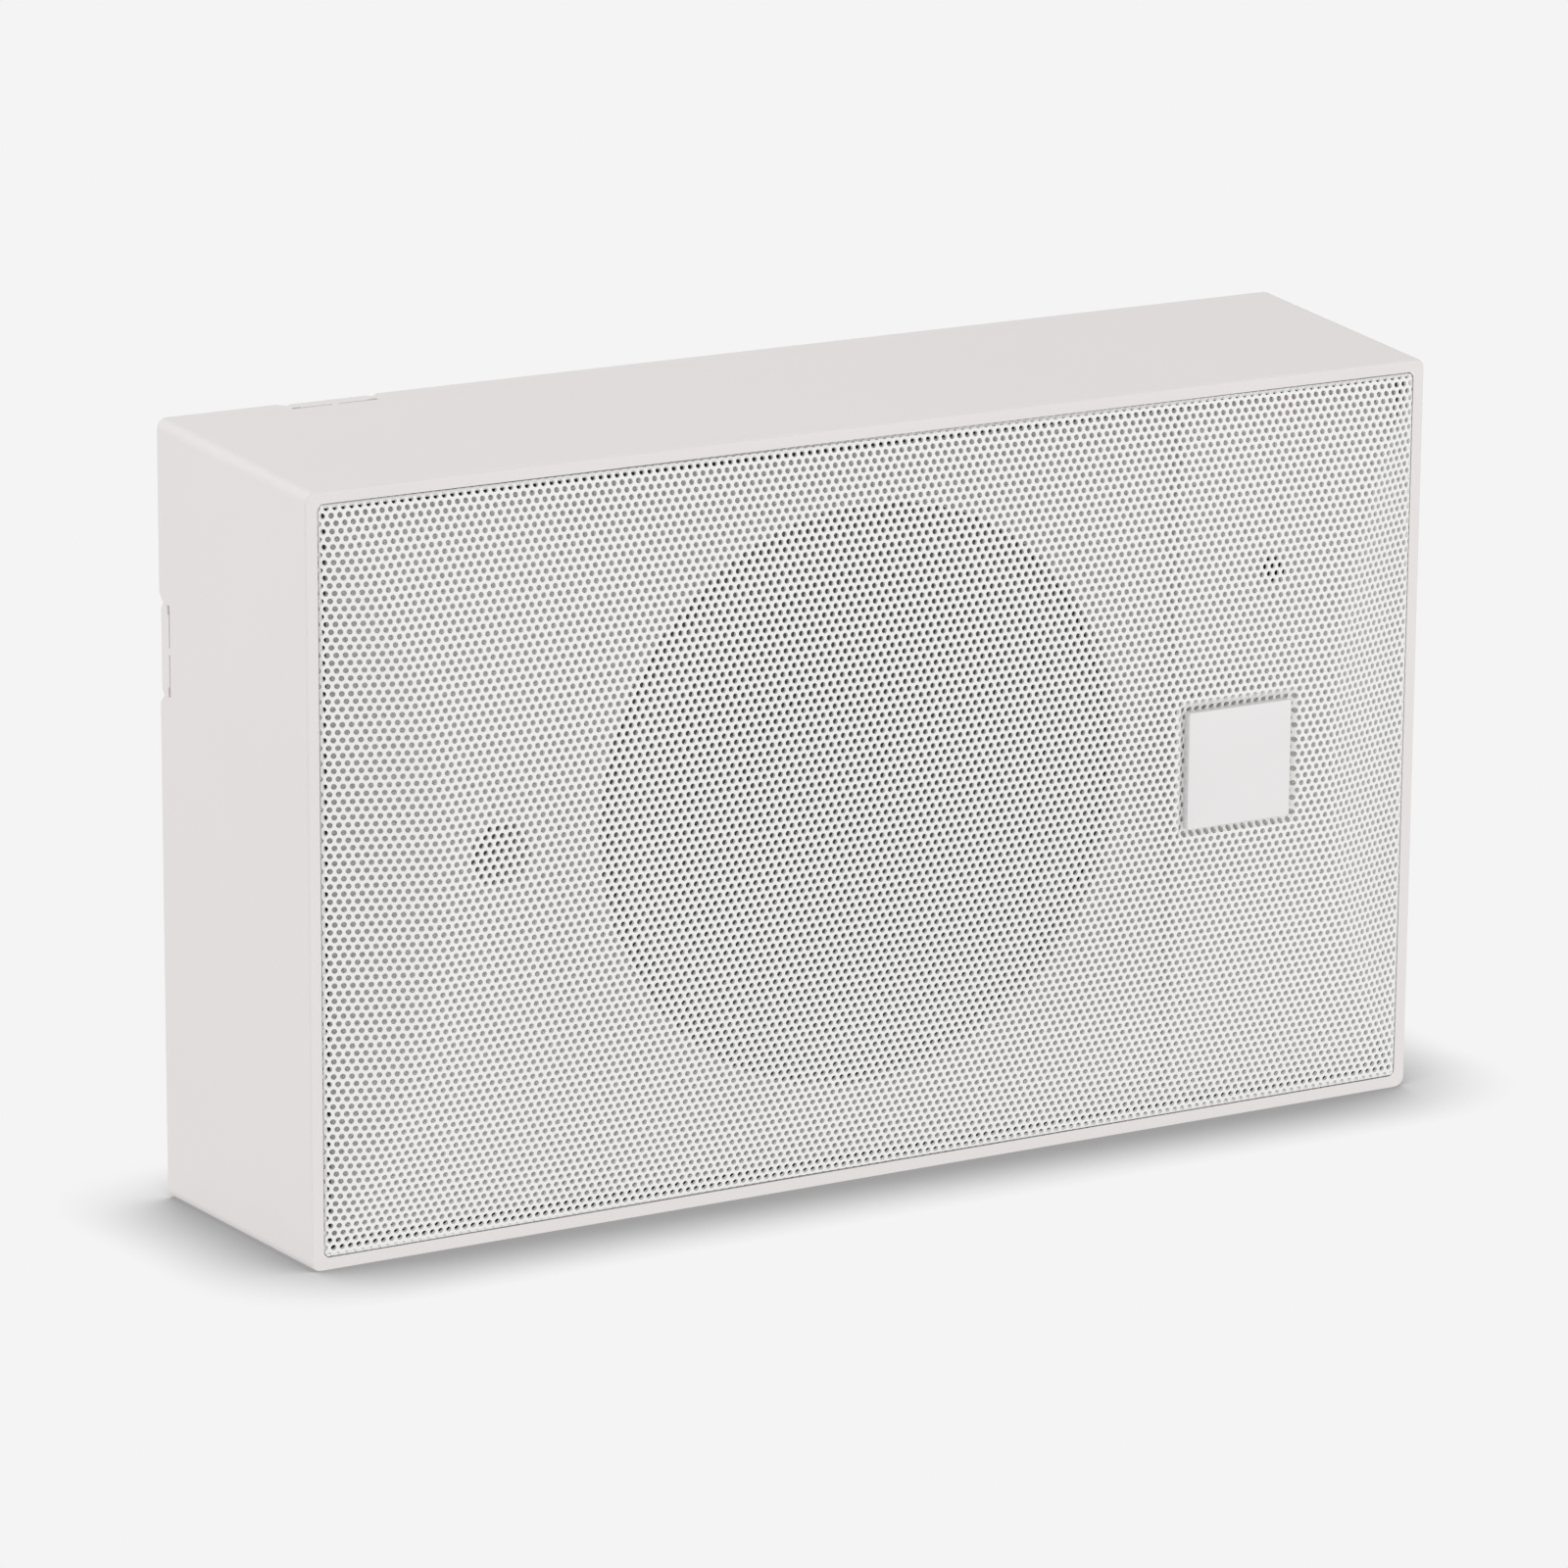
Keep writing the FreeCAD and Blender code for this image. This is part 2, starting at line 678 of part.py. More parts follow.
def make_tinsel_leads():
    """Limp leads from the lugs, through a window of the basket, to the back of the cone."""
    x_lug = sum(board_range()) / 2 - lug_thickness / 2 - tinsel_radius
    y_lug = y_flange + basket_sheet + terminal_board_thickness + lug_height - tinsel_radius
    y_cone = cone_level(tinsel_reach) + 2 * (cone_thickness + tinsel_radius)
    x_window = (window_inner + window_outer) / 2
    side_share = (basket_side - x_window) / (basket_side - basket_foot)
    y_window = y_flange + side_share * (y_spider - y_flange) + basket_sheet / 2
    x_low = x_window + tinsel_slack * (x_window - tinsel_reach)
    y_low = y_window + tinsel_slack * (y_window - y_cone)
    leads = []
    for side in (-1, 1):
        z = side * lug_spacing / 2
        low_point = Vector(x_low, y_low, z)
        route = [Vector(x_lug, y_lug, z), low_point, Vector(tinsel_reach, y_cone, z)]
        leads.append(straight_runs(route, tinsel_radius))
    return Part.makeCompound(leads)


def make_driver_screws():
    places = bolt_places(driver_bolt_radius, driver_screw_count)
    return Part.makeCompound([screw(x, z, y_flange + basket_sheet, driver_screw_length) for x, z in places])


def transformer_block(size_x, y_range, size_z):
    """A box centred on the transformer."""
    return block(about(transformer_x, size_x), y_range, about(transformer_z, size_z))


def window_levels():
    """Front and back of the core's two windows."""
    return (y_side_back + core_leg / 2, y_core_back - core_leg / 2)


def make_transformer_core():
    """Stack of iron sheets with two windows round the middle leg."""
    core = transformer_block(core_stack, (y_side_back, y_core_back), core_length)
    for side in (-1, 1):
        edge = side * core_leg / 2
        core = core.cut(
            block(
                about(transformer_x, core_stack),
                window_levels(),
                sorted((transformer_z + edge, transformer_z + edge + side * window_width)),
            )
        )
    return core


def make_transformer_bobbin():
    """Plastic sleeve on the middle leg, with a flange at each end."""
    low, high = window_levels()
    y_range = (low + winding_gap, high - winding_gap)
    sleeve_x = core_stack + 2 * (winding_gap + bobbin_wall)
    sleeve_z = core_leg + 2 * (winding_gap + bobbin_wall)
    flange_x = core_stack + 2 * winding_bulge
    flange_z = core_leg + 2 * (window_width - winding_gap)
    bobbin = transformer_block(sleeve_x, y_range, sleeve_z)
    for y in (y_range[0], y_range[1] - bobbin_wall):
        bobbin = bobbin.fuse(transformer_block(flange_x, (y, y + bobbin_wall), flange_z))
    hole = transformer_block(core_stack + 2 * winding_gap, y_range, core_leg + 2 * winding_gap)
    return bobbin.cut(hole).removeSplitter()


def make_transformer_winding():
    """Wire wound on the bobbin, between its flanges."""
    low, high = window_levels()
    margin = winding_gap + bobbin_wall
    y_range = (low + margin, high - margin)
    coil = transformer_block(
        core_stack + 2 * (winding_bulge - bobbin_wall),
        y_range,
        core_leg + 2 * (window_width - margin),
    )
    hole = transformer_block(core_stack + 2 * margin, y_range, core_leg + 2 * margin)
    return coil.cut(hole)


def make_transformer_strap():
    """Steel strap over the core, with a screw foot below and a toe above."""
    outer_z = core_length + 2 * strap_thickness
    strap = transformer_block(core_stack, (y_side_back, y_core_back + strap_thickness), outer_z)
    strap = strap.cut(transformer_block(core_stack, (y_side_back, y_core_back), core_length))
    foot_level = (y_side_back, y_side_back + strap_thickness)
    foot_z = transformer_z - outer_z / 2
    toe_z = transformer_z + outer_z / 2
    strap = strap.fuse(block(about(transformer_x, core_stack), foot_level, (foot_z - strap_foot, foot_z)))
    strap = strap.fuse(block(about(transformer_x, core_stack), foot_level, (toe_z, toe_z + strap_toe)))
    strap = strap.cut(rod(screw_hole, transformer_x, transformer_screw_z, foot_level))
    return strap.removeSplitter()


def make_transformer_screw():
    """Screw from the front of the baffle into the strap's foot."""
    return screw(transformer_x, transformer_screw_z, y_ledge, baffle_thickness + 2 * strap_thickness, -1)


def block_way_places():
    """Middle of each way of the terminal block."""
    step = block_width / block_ways
    return [pocket_x + (way - (block_ways - 1) / 2) * step for way in range(block_ways)]


def make_terminal_block():
    """Moulded screw terminal with a wire hole and a clamp screw for each way."""
    y_top = y_pocket_floor + block_depth
    body = block(about(pocket_x, block_width), (y_pocket_floor, y_top), about(pocket_z, block_height))
    way_level = y_pocket_floor + block_depth / 2
    for x in block_way_places():
        entry = Vector(x, way_level, pocket_z - block_height / 2)
        wire = Part.makeCylinder(block_wire_radius, block_height, entry, Vector(0, 0, 1))
        body = body.cut(wire)
        body = body.cut(rod(screw_head_radius, x, pocket_z, (way_level, y_top)))
    return body.removeSplitter()


def make_terminal_clamp_screws():
    """Clamp screws, driven down in the block's wells to the wire holes."""
    foot = y_pocket_floor + block_depth / 2 + block_wire_radius
    y_range = (foot, foot + screw_head_height)
    radius = screw_head_radius - screw_hole_gap
    return Part.makeCompound([rod(radius, x, pocket_z, y_range) for x in block_way_places()])


pieces = {
    "cabinet": make_cabinet,
    "grille": make_grille,
    "badge": make_badge,
    "badge_clips": make_badge_clips,
    "rear_cover": make_rear_cover,
    "rear_cover_screws": make_rear_cover_screws,
    "driver_gasket": make_driver_gasket,
    "driver_basket": make_driver_basket,
    "driver_surround": make_driver_surround,
    "driver_cone": make_driver_cone,
    "dust_cap": make_dust_cap,
    "voice_coil": make_voice_coil,
    "spider": make_spider,
    "top_plate": make_top_plate,
    "magnet": make_magnet,
    "yoke": make_yoke,
    "terminal_board": make_terminal_board,
    "terminal_lugs": make_terminal_lugs,
    "tinsel_leads": make_tinsel_leads,
    "driver_screws": make_driver_screws,
    "transformer_core": make_transformer_core,
    "transformer_bobbin": make_transformer_bobbin,
    "transformer_winding": make_transformer_winding,
    "transformer_strap": make_transformer_strap,
    "transformer_screw": make_transformer_screw,
    "terminal_block": make_terminal_block,
    "terminal_clamp_screws": make_terminal_clamp_screws,
}

os.makedirs("parts", exist_ok=True)
for name, make in pieces.items():
    make().exportStep(os.path.join("parts", name + ".step"))
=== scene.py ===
import math

import bpy
import numpy as np
from mathutils import Matrix, Vector


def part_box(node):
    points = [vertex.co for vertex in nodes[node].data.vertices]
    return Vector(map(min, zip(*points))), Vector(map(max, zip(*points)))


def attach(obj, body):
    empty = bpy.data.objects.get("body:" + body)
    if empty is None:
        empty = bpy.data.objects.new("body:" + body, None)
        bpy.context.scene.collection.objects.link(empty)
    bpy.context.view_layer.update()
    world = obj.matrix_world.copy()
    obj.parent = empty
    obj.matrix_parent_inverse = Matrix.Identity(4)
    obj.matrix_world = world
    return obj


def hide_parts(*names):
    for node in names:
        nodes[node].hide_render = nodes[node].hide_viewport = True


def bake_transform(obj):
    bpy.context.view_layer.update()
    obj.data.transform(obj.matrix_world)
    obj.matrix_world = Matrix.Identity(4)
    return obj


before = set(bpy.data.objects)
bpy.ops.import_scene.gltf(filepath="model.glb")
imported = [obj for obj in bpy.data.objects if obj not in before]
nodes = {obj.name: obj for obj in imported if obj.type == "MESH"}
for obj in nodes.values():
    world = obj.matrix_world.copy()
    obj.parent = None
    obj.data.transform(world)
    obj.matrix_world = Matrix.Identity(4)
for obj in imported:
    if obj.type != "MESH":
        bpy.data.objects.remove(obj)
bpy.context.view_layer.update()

bpy.context.scene.view_settings.view_transform = "Standard"

# Case: one white moulding with drafted walls, the band round the grille and the baffle behind it.
# The mould left a very fine matt grain on the outside, and the tone drifts a little over each wall. The
# baffle behind the grille is painted brighter than the outside, as painted light for the light that comes in
# through the holes.


def node_group(name, inputs, outputs):
    """An empty shader group with its sockets, and its two end nodes."""
    group = bpy.data.node_groups.new(name, "ShaderNodeTree")
    for socket, value in inputs.items():
        kind = {int: "Float", float: "Float", tuple: "Vector"}[type(value)]
        made = group.interface.new_socket(socket, in_out="INPUT", socket_type="NodeSocket" + kind)
        made.default_value = value
    for socket, kind in outputs.items():
        group.interface.new_socket(socket, in_out="OUTPUT", socket_type="NodeSocket" + kind)
    return group, group.nodes.new("NodeGroupInput").outputs, group.nodes.new("NodeGroupOutput").inputs


def put(tree, kind, links=(), **values):
    """A node of a kind, with values set and sockets linked by their place or name."""
    node = tree.nodes.new("ShaderNode" + kind)
    for name, value in values.items():
        setattr(node, name, value)
    for socket, source in dict(links).items():
        if isinstance(source, bpy.types.NodeSocket):
            tree.links.new(source, node.inputs[socket])
        else:
            node.inputs[socket].default_value = source
    return node


def make_surface_grain():
    """Slow drift of tone and gloss over a piece, and a fine grain for its bump."""
    group, given, out = node_group(
        "surface_grain",
        {"Tone Scale": 20.0, "Tone Drift": 0.03, "Gloss Low": 0.4, "Gloss High": 0.5, "Grain Scale": 2500.0},
        {"Tone": "Float", "Roughness": "Float", "Height": "Float"},
    )
    place = put(group, "TexCoord").outputs["Object"]
    cloud = put(group, "TexNoise", {"Vector": place, "Scale": given["Tone Scale"], "Detail": 3})
    drift = cloud.outputs["Fac"]
    centred = put(group, "Math", {0: drift, 1: 0.5}, operation="SUBTRACT").outputs[0]
    tone = put(group, "Math", {0: centred, 1: given["Tone Drift"], 2: 1}, operation="MULTIPLY_ADD")
    gloss = put(
        group,
        "MapRange",
        {
            "Value": drift,
            "From Min": 0.3,
            "From Max": 0.7,
            "To Min": given["Gloss Low"],
            "To Max": given["Gloss High"],
        },
    )
    grain = put(group, "TexNoise", {"Vector": place, "Scale": given["Grain Scale"], "Detail": 2})
    group.links.new(tone.outputs[0], out["Tone"])
    group.links.new(gloss.outputs[0], out["Roughness"])
    group.links.new(grain.outputs["Fac"], out["Height"])
    return group


surface_grain = make_surface_grain()


def finish(name, colour, gloss, grain, tone=(20, 0.05), pattern=None, dark=0.5, depth=0, **plain):
    """A material: its grain, a pattern over it that darkens its hollows, and plain shader values.

    gloss is the lowest and highest roughness, grain its scale and depth, tone its scale and drift.
    pattern is a group with its values, dark the share of colour in its hollows, depth its height.
    """
    material = bpy.data.materials.new(name)
    material.use_nodes = True
    tree = material.node_tree
    shader = tree.nodes["Principled BSDF"]
    for socket, value in plain.items():
        shader.inputs[socket.replace("_", " ")].default_value = value
    base = put(tree, "Group", node_tree=surface_grain)
    for socket, value in zip(
        ("Tone Scale", "Tone Drift", "Gloss Low", "Gloss High", "Grain Scale"), (*tone, *gloss, grain[0])
    ):
        base.inputs[socket].default_value = value
    bump = put(tree, "Bump", {"Height": base.outputs["Height"], "Distance": grain[1]})
    shade = base.outputs["Tone"]
    if pattern:
        group, values = pattern
        lines = put(tree, "Group", node_tree=group)
        for socket, value in values.items():
            lines.inputs[socket].default_value = value
        height = lines.outputs["Height"]
        bump = put(tree, "Bump", {"Height": height, "Distance": depth, "Normal": bump.outputs["Normal"]})
        hollow = put(tree, "MapRange", {"Value": height, "To Min": dark, "To Max": 1})
        shade = put(tree, "Math", {0: shade, 1: hollow.outputs[0]}, operation="MULTIPLY").outputs[0]
    toned = put(tree, "VectorMath", {0: colour, "Scale": shade}, operation="SCALE")
    tree.links.new(toned.outputs[0], shader.inputs["Base Color"])
    tree.links.new(base.outputs["Roughness"], shader.inputs["Roughness"])
    tree.links.new(bump.outputs["Normal"], shader.inputs["Normal"])
    return material


def dress(material, *pieces):
    """Puts one material all over each piece."""
    for piece in pieces:
        piece.data.materials.clear()
        piece.data.materials.append(material)


def make_painted_light_baffle():
    """A mark on the baffle behind the grille, where the case is painted brighter as painted light through the
    holes, and none outside.
    """
    group, given, out = node_group(
        "painted_light_baffle", {"Half Width": 0.14, "Half Height": 0.0847}, {"Height": "Float"}
    )
    place = put(group, "SeparateXYZ", {0: put(group, "TexCoord").outputs["Object"]}).outputs
    inside = []
    for axis, limit in (("X", "Half Width"), ("Z", "Half Height")):
        reach = put(group, "Math", {0: place[axis]}, operation="ABSOLUTE").outputs[0]
        inside.append(put(group, "Math", {0: reach, 1: given[limit]}, operation="LESS_THAN").outputs[0])
    both = put(group, "Math", {0: inside[0], 1: inside[1]}, operation="MULTIPLY").outputs[0]
    group.links.new(both, out["Height"])
    return group


painted_light_baffle = make_painted_light_baffle()
# Painted light: the case keeps 0.82 of its colour outside the grille, and the baffle behind the grille gets
# the whole, brighter colour.
case_white = finish(
    "case_white",
    (0.91, 0.875, 0.865),
    (0.42, 0.5),
    (2600, 0.00003),
    pattern=(painted_light_baffle, {"Half Width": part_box("grille")[1].x, "Half Height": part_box("grille")[1].z}),
    dark=0.82,
)
dress(case_white, nodes["cabinet"])

# Driver frame: a pressed steel basket in satin black paint, on a ring of soft black foam.
# The flange is clamped behind the baffle, and the foam keeps the joint from rattling.
basket_black = finish(
    "basket_black", (0.035, 0.035, 0.037), (0.3, 0.42), (900, 0.00006), Specular_IOR_Level=0.45
)
dress(basket_black, nodes["driver_basket"])


def make_foam_cells():
    """Small round cells, open at the surface of a foam."""
    group, given, out = node_group("foam_cells", {"Cell Scale": 1500.0}, {"Height": "Float"})
    place = put(group, "TexCoord").outputs["Object"]
    cells = put(group, "TexVoronoi", {"Vector": place, "Scale": given["Cell Scale"]})
    group.links.new(cells.outputs["Distance"], out["Height"])
    return group


foam_cells = make_foam_cells()
gasket_foam = finish(
    "gasket_foam",
    (0.06, 0.06, 0.062),
    (0.85, 0.95),
    (4000, 0.00005),
    pattern=(foam_cells, {"Cell Scale": 1400}),
    dark=0.35,
    depth=0.0002,
)
dress(gasket_foam, nodes["driver_gasket"])

# Magnet system: a ferrite ring between a zinc-plated top plate and a yoke with its pole.
# The ferrite is sintered and dull, with bright and dark grains, and the steel is turned and plated.


def make_turning_lines():
    """Rings that a tool leaves on a turned face, unevenly spaced."""
    group, given, out = node_group("turning_lines", {"Line Spacing": 0.0005}, {"Height": "Float"})
    place = put(group, "SeparateXYZ", {0: put(group, "TexCoord").outputs["Object"]}).outputs
    flat = put(group, "CombineXYZ", {"X": place["X"], "Y": place["Z"]}).outputs[0]
    radius = put(group, "VectorMath", {0: flat}, operation="LENGTH").outputs["Value"]
    turns = put(group, "Math", {0: radius, 1: given["Line Spacing"]}, operation="DIVIDE").outputs[0]
    along = put(group, "Math", {0: turns, 1: place["Y"]}, operation="ADD").outputs[0]
    rings = put(group, "TexNoise", {"W": along, "Scale": 1.0, "Detail": 2}, noise_dimensions="1D")
    group.links.new(rings.outputs["Fac"], out["Height"])
    return group


turning_lines = make_turning_lines()
zinc_turned = finish(
    "zinc_turned",
    (0.6, 0.61, 0.62),
    (0.28, 0.42),
    (1200, 0.00001),
    pattern=(turning_lines, {"Line Spacing": 0.0004}),
    dark=0.8,
    depth=0.00003,
    Metallic=1,
)
ferrite_grey = finish(
    "ferrite_grey",
    (0.06, 0.06, 0.065),
    (0.6, 0.8),
    (5000, 0.00005),
    tone=(900, 0.8),
    pattern=(foam_cells, {"Cell Scale": 700}),
    dark=0.7,
    depth=0.00004,
)
dress(zinc_turned, nodes["top_plate"], nodes["yoke"])
dress(ferrite_grey, nodes["magnet"])

# Voice coil: a thin former with enamelled copper wire wound close on it, hung in the magnet's gap.
# The turns lie side by side, so they show as fine bright lines round the former.


def make_fine_lines():
    """Parallel round lines of one spacing, such as turns of wire or the edges of stacked sheets."""
    group, given, out = node_group(
        "fine_lines", {"Line Spacing": 0.0005, "Across": (0.0, 1.0, 0.0)}, {"Height": "Float"}
    )
    place = put(group, "TexCoord").outputs["Object"]
    along = put(group, "VectorMath", {0: place, 1: given["Across"]}, operation="DOT_PRODUCT").outputs["Value"]
    turns = put(group, "Math", {0: along, 1: given["Line Spacing"]}, operation="DIVIDE").outputs[0]
    wave = put(group, "Math", {0: turns, 1: 0.5}, operation="PINGPONG").outputs[0]
    height = put(group, "MapRange", {"Value": wave, "From Max": 0.3}, interpolation_type="SMOOTHSTEP")
    group.links.new(height.outputs[0], out["Height"])
    return group


fine_lines = make_fine_lines()
coil_copper = finish(
    "coil_copper",
    (0.62, 0.27, 0.12),
    (0.25, 0.35),
    (2000, 0.00001),
    pattern=(fine_lines, {"Line Spacing": 0.00025, "Across": (0, 1, 0)}),
    dark=0.4,
    depth=0.00008,
    Metallic=1,
)
dress(coil_copper, nodes["voice_coil"])

# Spider: a disc of resined cloth, pressed into round waves that let the coil move along its axis.
# Its rim is glued to a ledge of the basket, and its middle to the coil's former.


def hold(piece):
    """Makes a piece the active one and the only one selected."""
    bpy.ops.object.select_all(action="DESELECT")
    bpy.context.view_layer.objects.active = piece
    piece.select_set(True)


def choose(piece, kind, test):
    """In edit mode, selects only the faces or edges whose middle and normal pass a test."""
    bpy.ops.mesh.select_mode(type=kind)
    bpy.ops.mesh.select_all(action="DESELECT")
    bpy.ops.object.mode_set(mode="OBJECT")
    mesh = piece.data
    if kind == "FACE":
        for face in mesh.polygons:
            face.select = test(face.center, face.normal)
    else:
        for edge in mesh.edges:
            ends = [mesh.vertices[index].co for index in edge.vertices]
            edge.select = test((ends[0] + ends[1]) / 2, (ends[1] - ends[0]).normalized())
    bpy.ops.object.mode_set(mode="EDIT")


def turned(name, profile, sides=72):
    """A sheet turned about the driver's axis, from a circle that is drawn on through radius and level."""
    radius, level = profile[0]
    bpy.ops.object.select_all(action="DESELECT")
    bpy.ops.mesh.primitive_circle_add(
        vertices=sides, radius=radius, location=(0, level, 0), rotation=(math.pi / 2, 0, 0)
    )
    piece = bpy.context.object
    piece.name = name
    bpy.ops.object.transform_apply(location=True, rotation=True)
    bpy.ops.object.mode_set(mode="EDIT")
    bpy.ops.mesh.select_mode(type="EDGE")
    bpy.ops.mesh.select_all(action="SELECT")
    for next_radius, next_level in profile[1:]:
        bpy.ops.mesh.extrude_edges_move(TRANSFORM_OT_translate={"value": (0, next_level - level, 0)})
        share = next_radius / radius
        bpy.ops.transform.resize(value=(share, 1, share), center_override=(0, 0, 0))
        radius, level = next_radius, next_level
    bpy.ops.object.mode_set(mode="OBJECT")
    return piece


def thicken(piece, thickness):
    """Gives a turned sheet its thickness towards the wall, and smooth faces."""
    if sum(face.normal.y for face in piece.data.polygons) > 0:
        bpy.ops.object.mode_set(mode="EDIT")
        bpy.ops.mesh.select_all(action="SELECT")
        bpy.ops.mesh.flip_normals()
        bpy.ops.object.mode_set(mode="OBJECT")
    wall = piece.modifiers.new("thickness", "SOLIDIFY")
    wall.thickness = thickness
    wall.offset = -1
    bpy.ops.object.modifier_apply(modifier="thickness")
    bpy.ops.object.shade_smooth_by_angle(angle=sheet_crease)


def hang(piece, node):
    """Splits a ring into sectors, between the frame outside and the moving cone inside."""
    sectors = 12
    step = 2 * math.pi / sectors
    for number in range(sectors):
        sector = piece.copy()
        sector.data = piece.data.copy()
        sector.name = f"{piece.name}_{number + 1:02d}"
        bpy.context.collection.objects.link(sector)
        hold(sector)
        bpy.ops.object.mode_set(mode="EDIT")
        choose(
            sector,
            "FACE",
            lambda middle, normal: int(math.atan2(middle.z, middle.x) % (2 * math.pi) / step) != number,
        )
        bpy.ops.mesh.delete(type="FACE")
        bpy.ops.object.mode_set(mode="OBJECT")
        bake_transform(sector)
        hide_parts(node)
    bpy.data.objects.remove(piece)


def make_cloth_weave():
    """Plain weave: threads that pass over and under each other, in planes parallel to the wall."""
    group, given, out = node_group("cloth_weave", {"Thread Spacing": 0.0006}, {"Height": "Float"})
    place = put(group, "SeparateXYZ", {0: put(group, "TexCoord").outputs["Object"]}).outputs
    waves = []
    for axis in ("X", "Z"):
        turns = put(group, "Math", {0: place[axis], 1: given["Thread Spacing"]}, operation="DIVIDE")
        angle = put(group, "Math", {0: turns.outputs[0], 1: math.pi}, operation="MULTIPLY").outputs[0]
        waves.append(put(group, "Math", {0: angle}, operation="SINE").outputs[0])
    crossed = put(group, "Math", {0: waves[0], 1: waves[1]}, operation="MULTIPLY").outputs[0]
    height = put(group, "MapRange", {"Value": crossed, "From Min": -1, "From Max": 1})
    group.links.new(height.outputs[0], out["Height"])
    return group


cloth_weave = make_cloth_weave()
spider_low, spider_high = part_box("spider")
spider_radius = spider_high.x
spider_neck = 0.013
spider_flat = 0.004
spider_thickness = 0.0004
wave_count = 4
wave_height = 0.0006
wave_middle = (spider_low.y + spider_high.y) / 2
points_per_wave = 8
wave_points = points_per_wave * wave_count
sheet_crease = math.radians(40)
spider_line = [(spider_radius, wave_middle)]
for step in range(wave_points + 1):
    share = step / wave_points
    radius = spider_radius - spider_flat - share * (spider_radius - 2 * spider_flat - spider_neck)
    spider_line.append((radius, wave_middle - wave_height * math.sin(2 * math.pi * wave_count * share)))
spider_line.append((spider_neck, wave_middle))
spider = turned("spider_disc", spider_line)
thicken(spider, spider_thickness)
spider_cloth = finish(
    "spider_cloth",
    (0.52, 0.33, 0.1),
    (0.6, 0.75),
    (3000, 0.00003),
    pattern=(cloth_weave, {"Thread Spacing": 0.0005}),
    dark=0.45,
    depth=0.00015,
)
dress(spider_cloth, spider)
hang(spider, "spider")

# Cone: pulp felted and pressed to a flared cone with three stiffening rings, and dyed a dark grey.
# Its neck is glued to the coil's former and its rim to the surround, and it moves with the coil.
cone_low, cone_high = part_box("driver_cone")
cone_rim_level = cone_low.y
cone_rim_radius = cone_high.x
cone_lip = 0.0034
cone_edge_radius = cone_rim_radius - cone_lip
cone_neck_radius = 0.013
cone_depth = 0.0191
cone_thickness = 0.0006
cone_flare = 1.15
cone_steps = 24
ring_radii = (0.044, 0.037, 0.03)
ring_height = 0.00035
ring_width = 0.0012


def cone_level(radius):
    """Level of the cone's front at a radius, with its stiffening rings."""
    share = (cone_edge_radius - radius) / (cone_edge_radius - cone_neck_radius)
    rings = sum(math.exp(-(((radius - ring) / ring_width) ** 2)) for ring in ring_radii)
    return cone_rim_level + cone_depth * share ** cone_flare - ring_height * rings


cone_width = cone_edge_radius - cone_neck_radius
cone_radii = [cone_edge_radius - cone_width * step / cone_steps for step in range(1, cone_steps + 1)]
for ring in ring_radii:
    cone_radii += [ring - ring_width, ring - ring_width / 2, ring, ring + ring_width / 2, ring + ring_width]
cone_line = [(cone_rim_radius, cone_rim_level), (cone_edge_radius, cone_rim_level)]
cone_line += [(radius, cone_level(radius)) for radius in sorted(cone_radii, reverse=True)]
cone = turned("paper_cone", cone_line)
thicken(cone, cone_thickness)


def make_paper_fibres():
    """Short crossed fibres of felted pulp."""
    group, given, out = node_group("paper_fibres", {"Fibre Scale": 900.0}, {"Height": "Float"})
    place = put(group, "TexCoord").outputs["Object"]
    layers = []
    for stretch in ((1, 1, 0.15), (0.15, 1, 1)):
        drawn = put(group, "Mapping", {"Vector": place, "Scale": stretch}).outputs[0]
        noise = put(group, "TexNoise", {"Vector": drawn, "Scale": given["Fibre Scale"], "Detail": 4})
        layers.append(noise.outputs["Fac"])
    mixed = put(group, "Math", {0: layers[0], 1: layers[1]}, operation="ADD").outputs[0]
    height = put(group, "MapRange", {"Value": mixed, "From Min": 0.7, "From Max": 1.3}).outputs[0]
    group.links.new(height, out["Height"])
    return group


paper_fibres = make_paper_fibres()
cone_paper = finish(
    "cone_paper",
    (0.26, 0.256, 0.25),
    (0.7, 0.85),
    (2500, 0.00003),
    pattern=(paper_fibres, {"Fibre Scale": 900}),
    dark=0.75,
    depth=0.00008,
)
dress(cone_paper, cone)
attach(cone, "diaphragm")
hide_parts("driver_cone")

# Dust cap: a small dome of the same pulp, pressed smooth and glued over the cone's neck.
# It keeps grit out of the magnet's gap, and is a little darker and glossier than the cone.
cap_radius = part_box("dust_cap")[1].x
glue_line = 0.0001
cap_foot = cone_level(cap_radius) - glue_line
cap_rise = 0.004
cap_thickness = 0.0005
cap_steps = 9
cap_line = [
    (cap_radius * math.cos(angle), cap_foot - cap_rise * math.sin(angle))
    for angle in (math.pi / 2 * step / (cap_steps + 0.5) for step in range(cap_steps + 1))
]
cap = turned("dust_cap_dome", cap_line)
bpy.ops.object.mode_set(mode="EDIT")
bpy.ops.mesh.edge_face_add()
bpy.ops.object.mode_set(mode="OBJECT")
thicken(cap, cap_thickness)
cap_paper = finish(
    "cap_paper",
    (0.22, 0.217, 0.213),
    (0.5, 0.6),
    (2500, 0.00002),
    pattern=(paper_fibres, {"Fibre Scale": 1300}),
    dark=0.85,
    depth=0.00003,
)
dress(cap_paper, cap)
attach(cap, "diaphragm")
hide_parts("dust_cap")

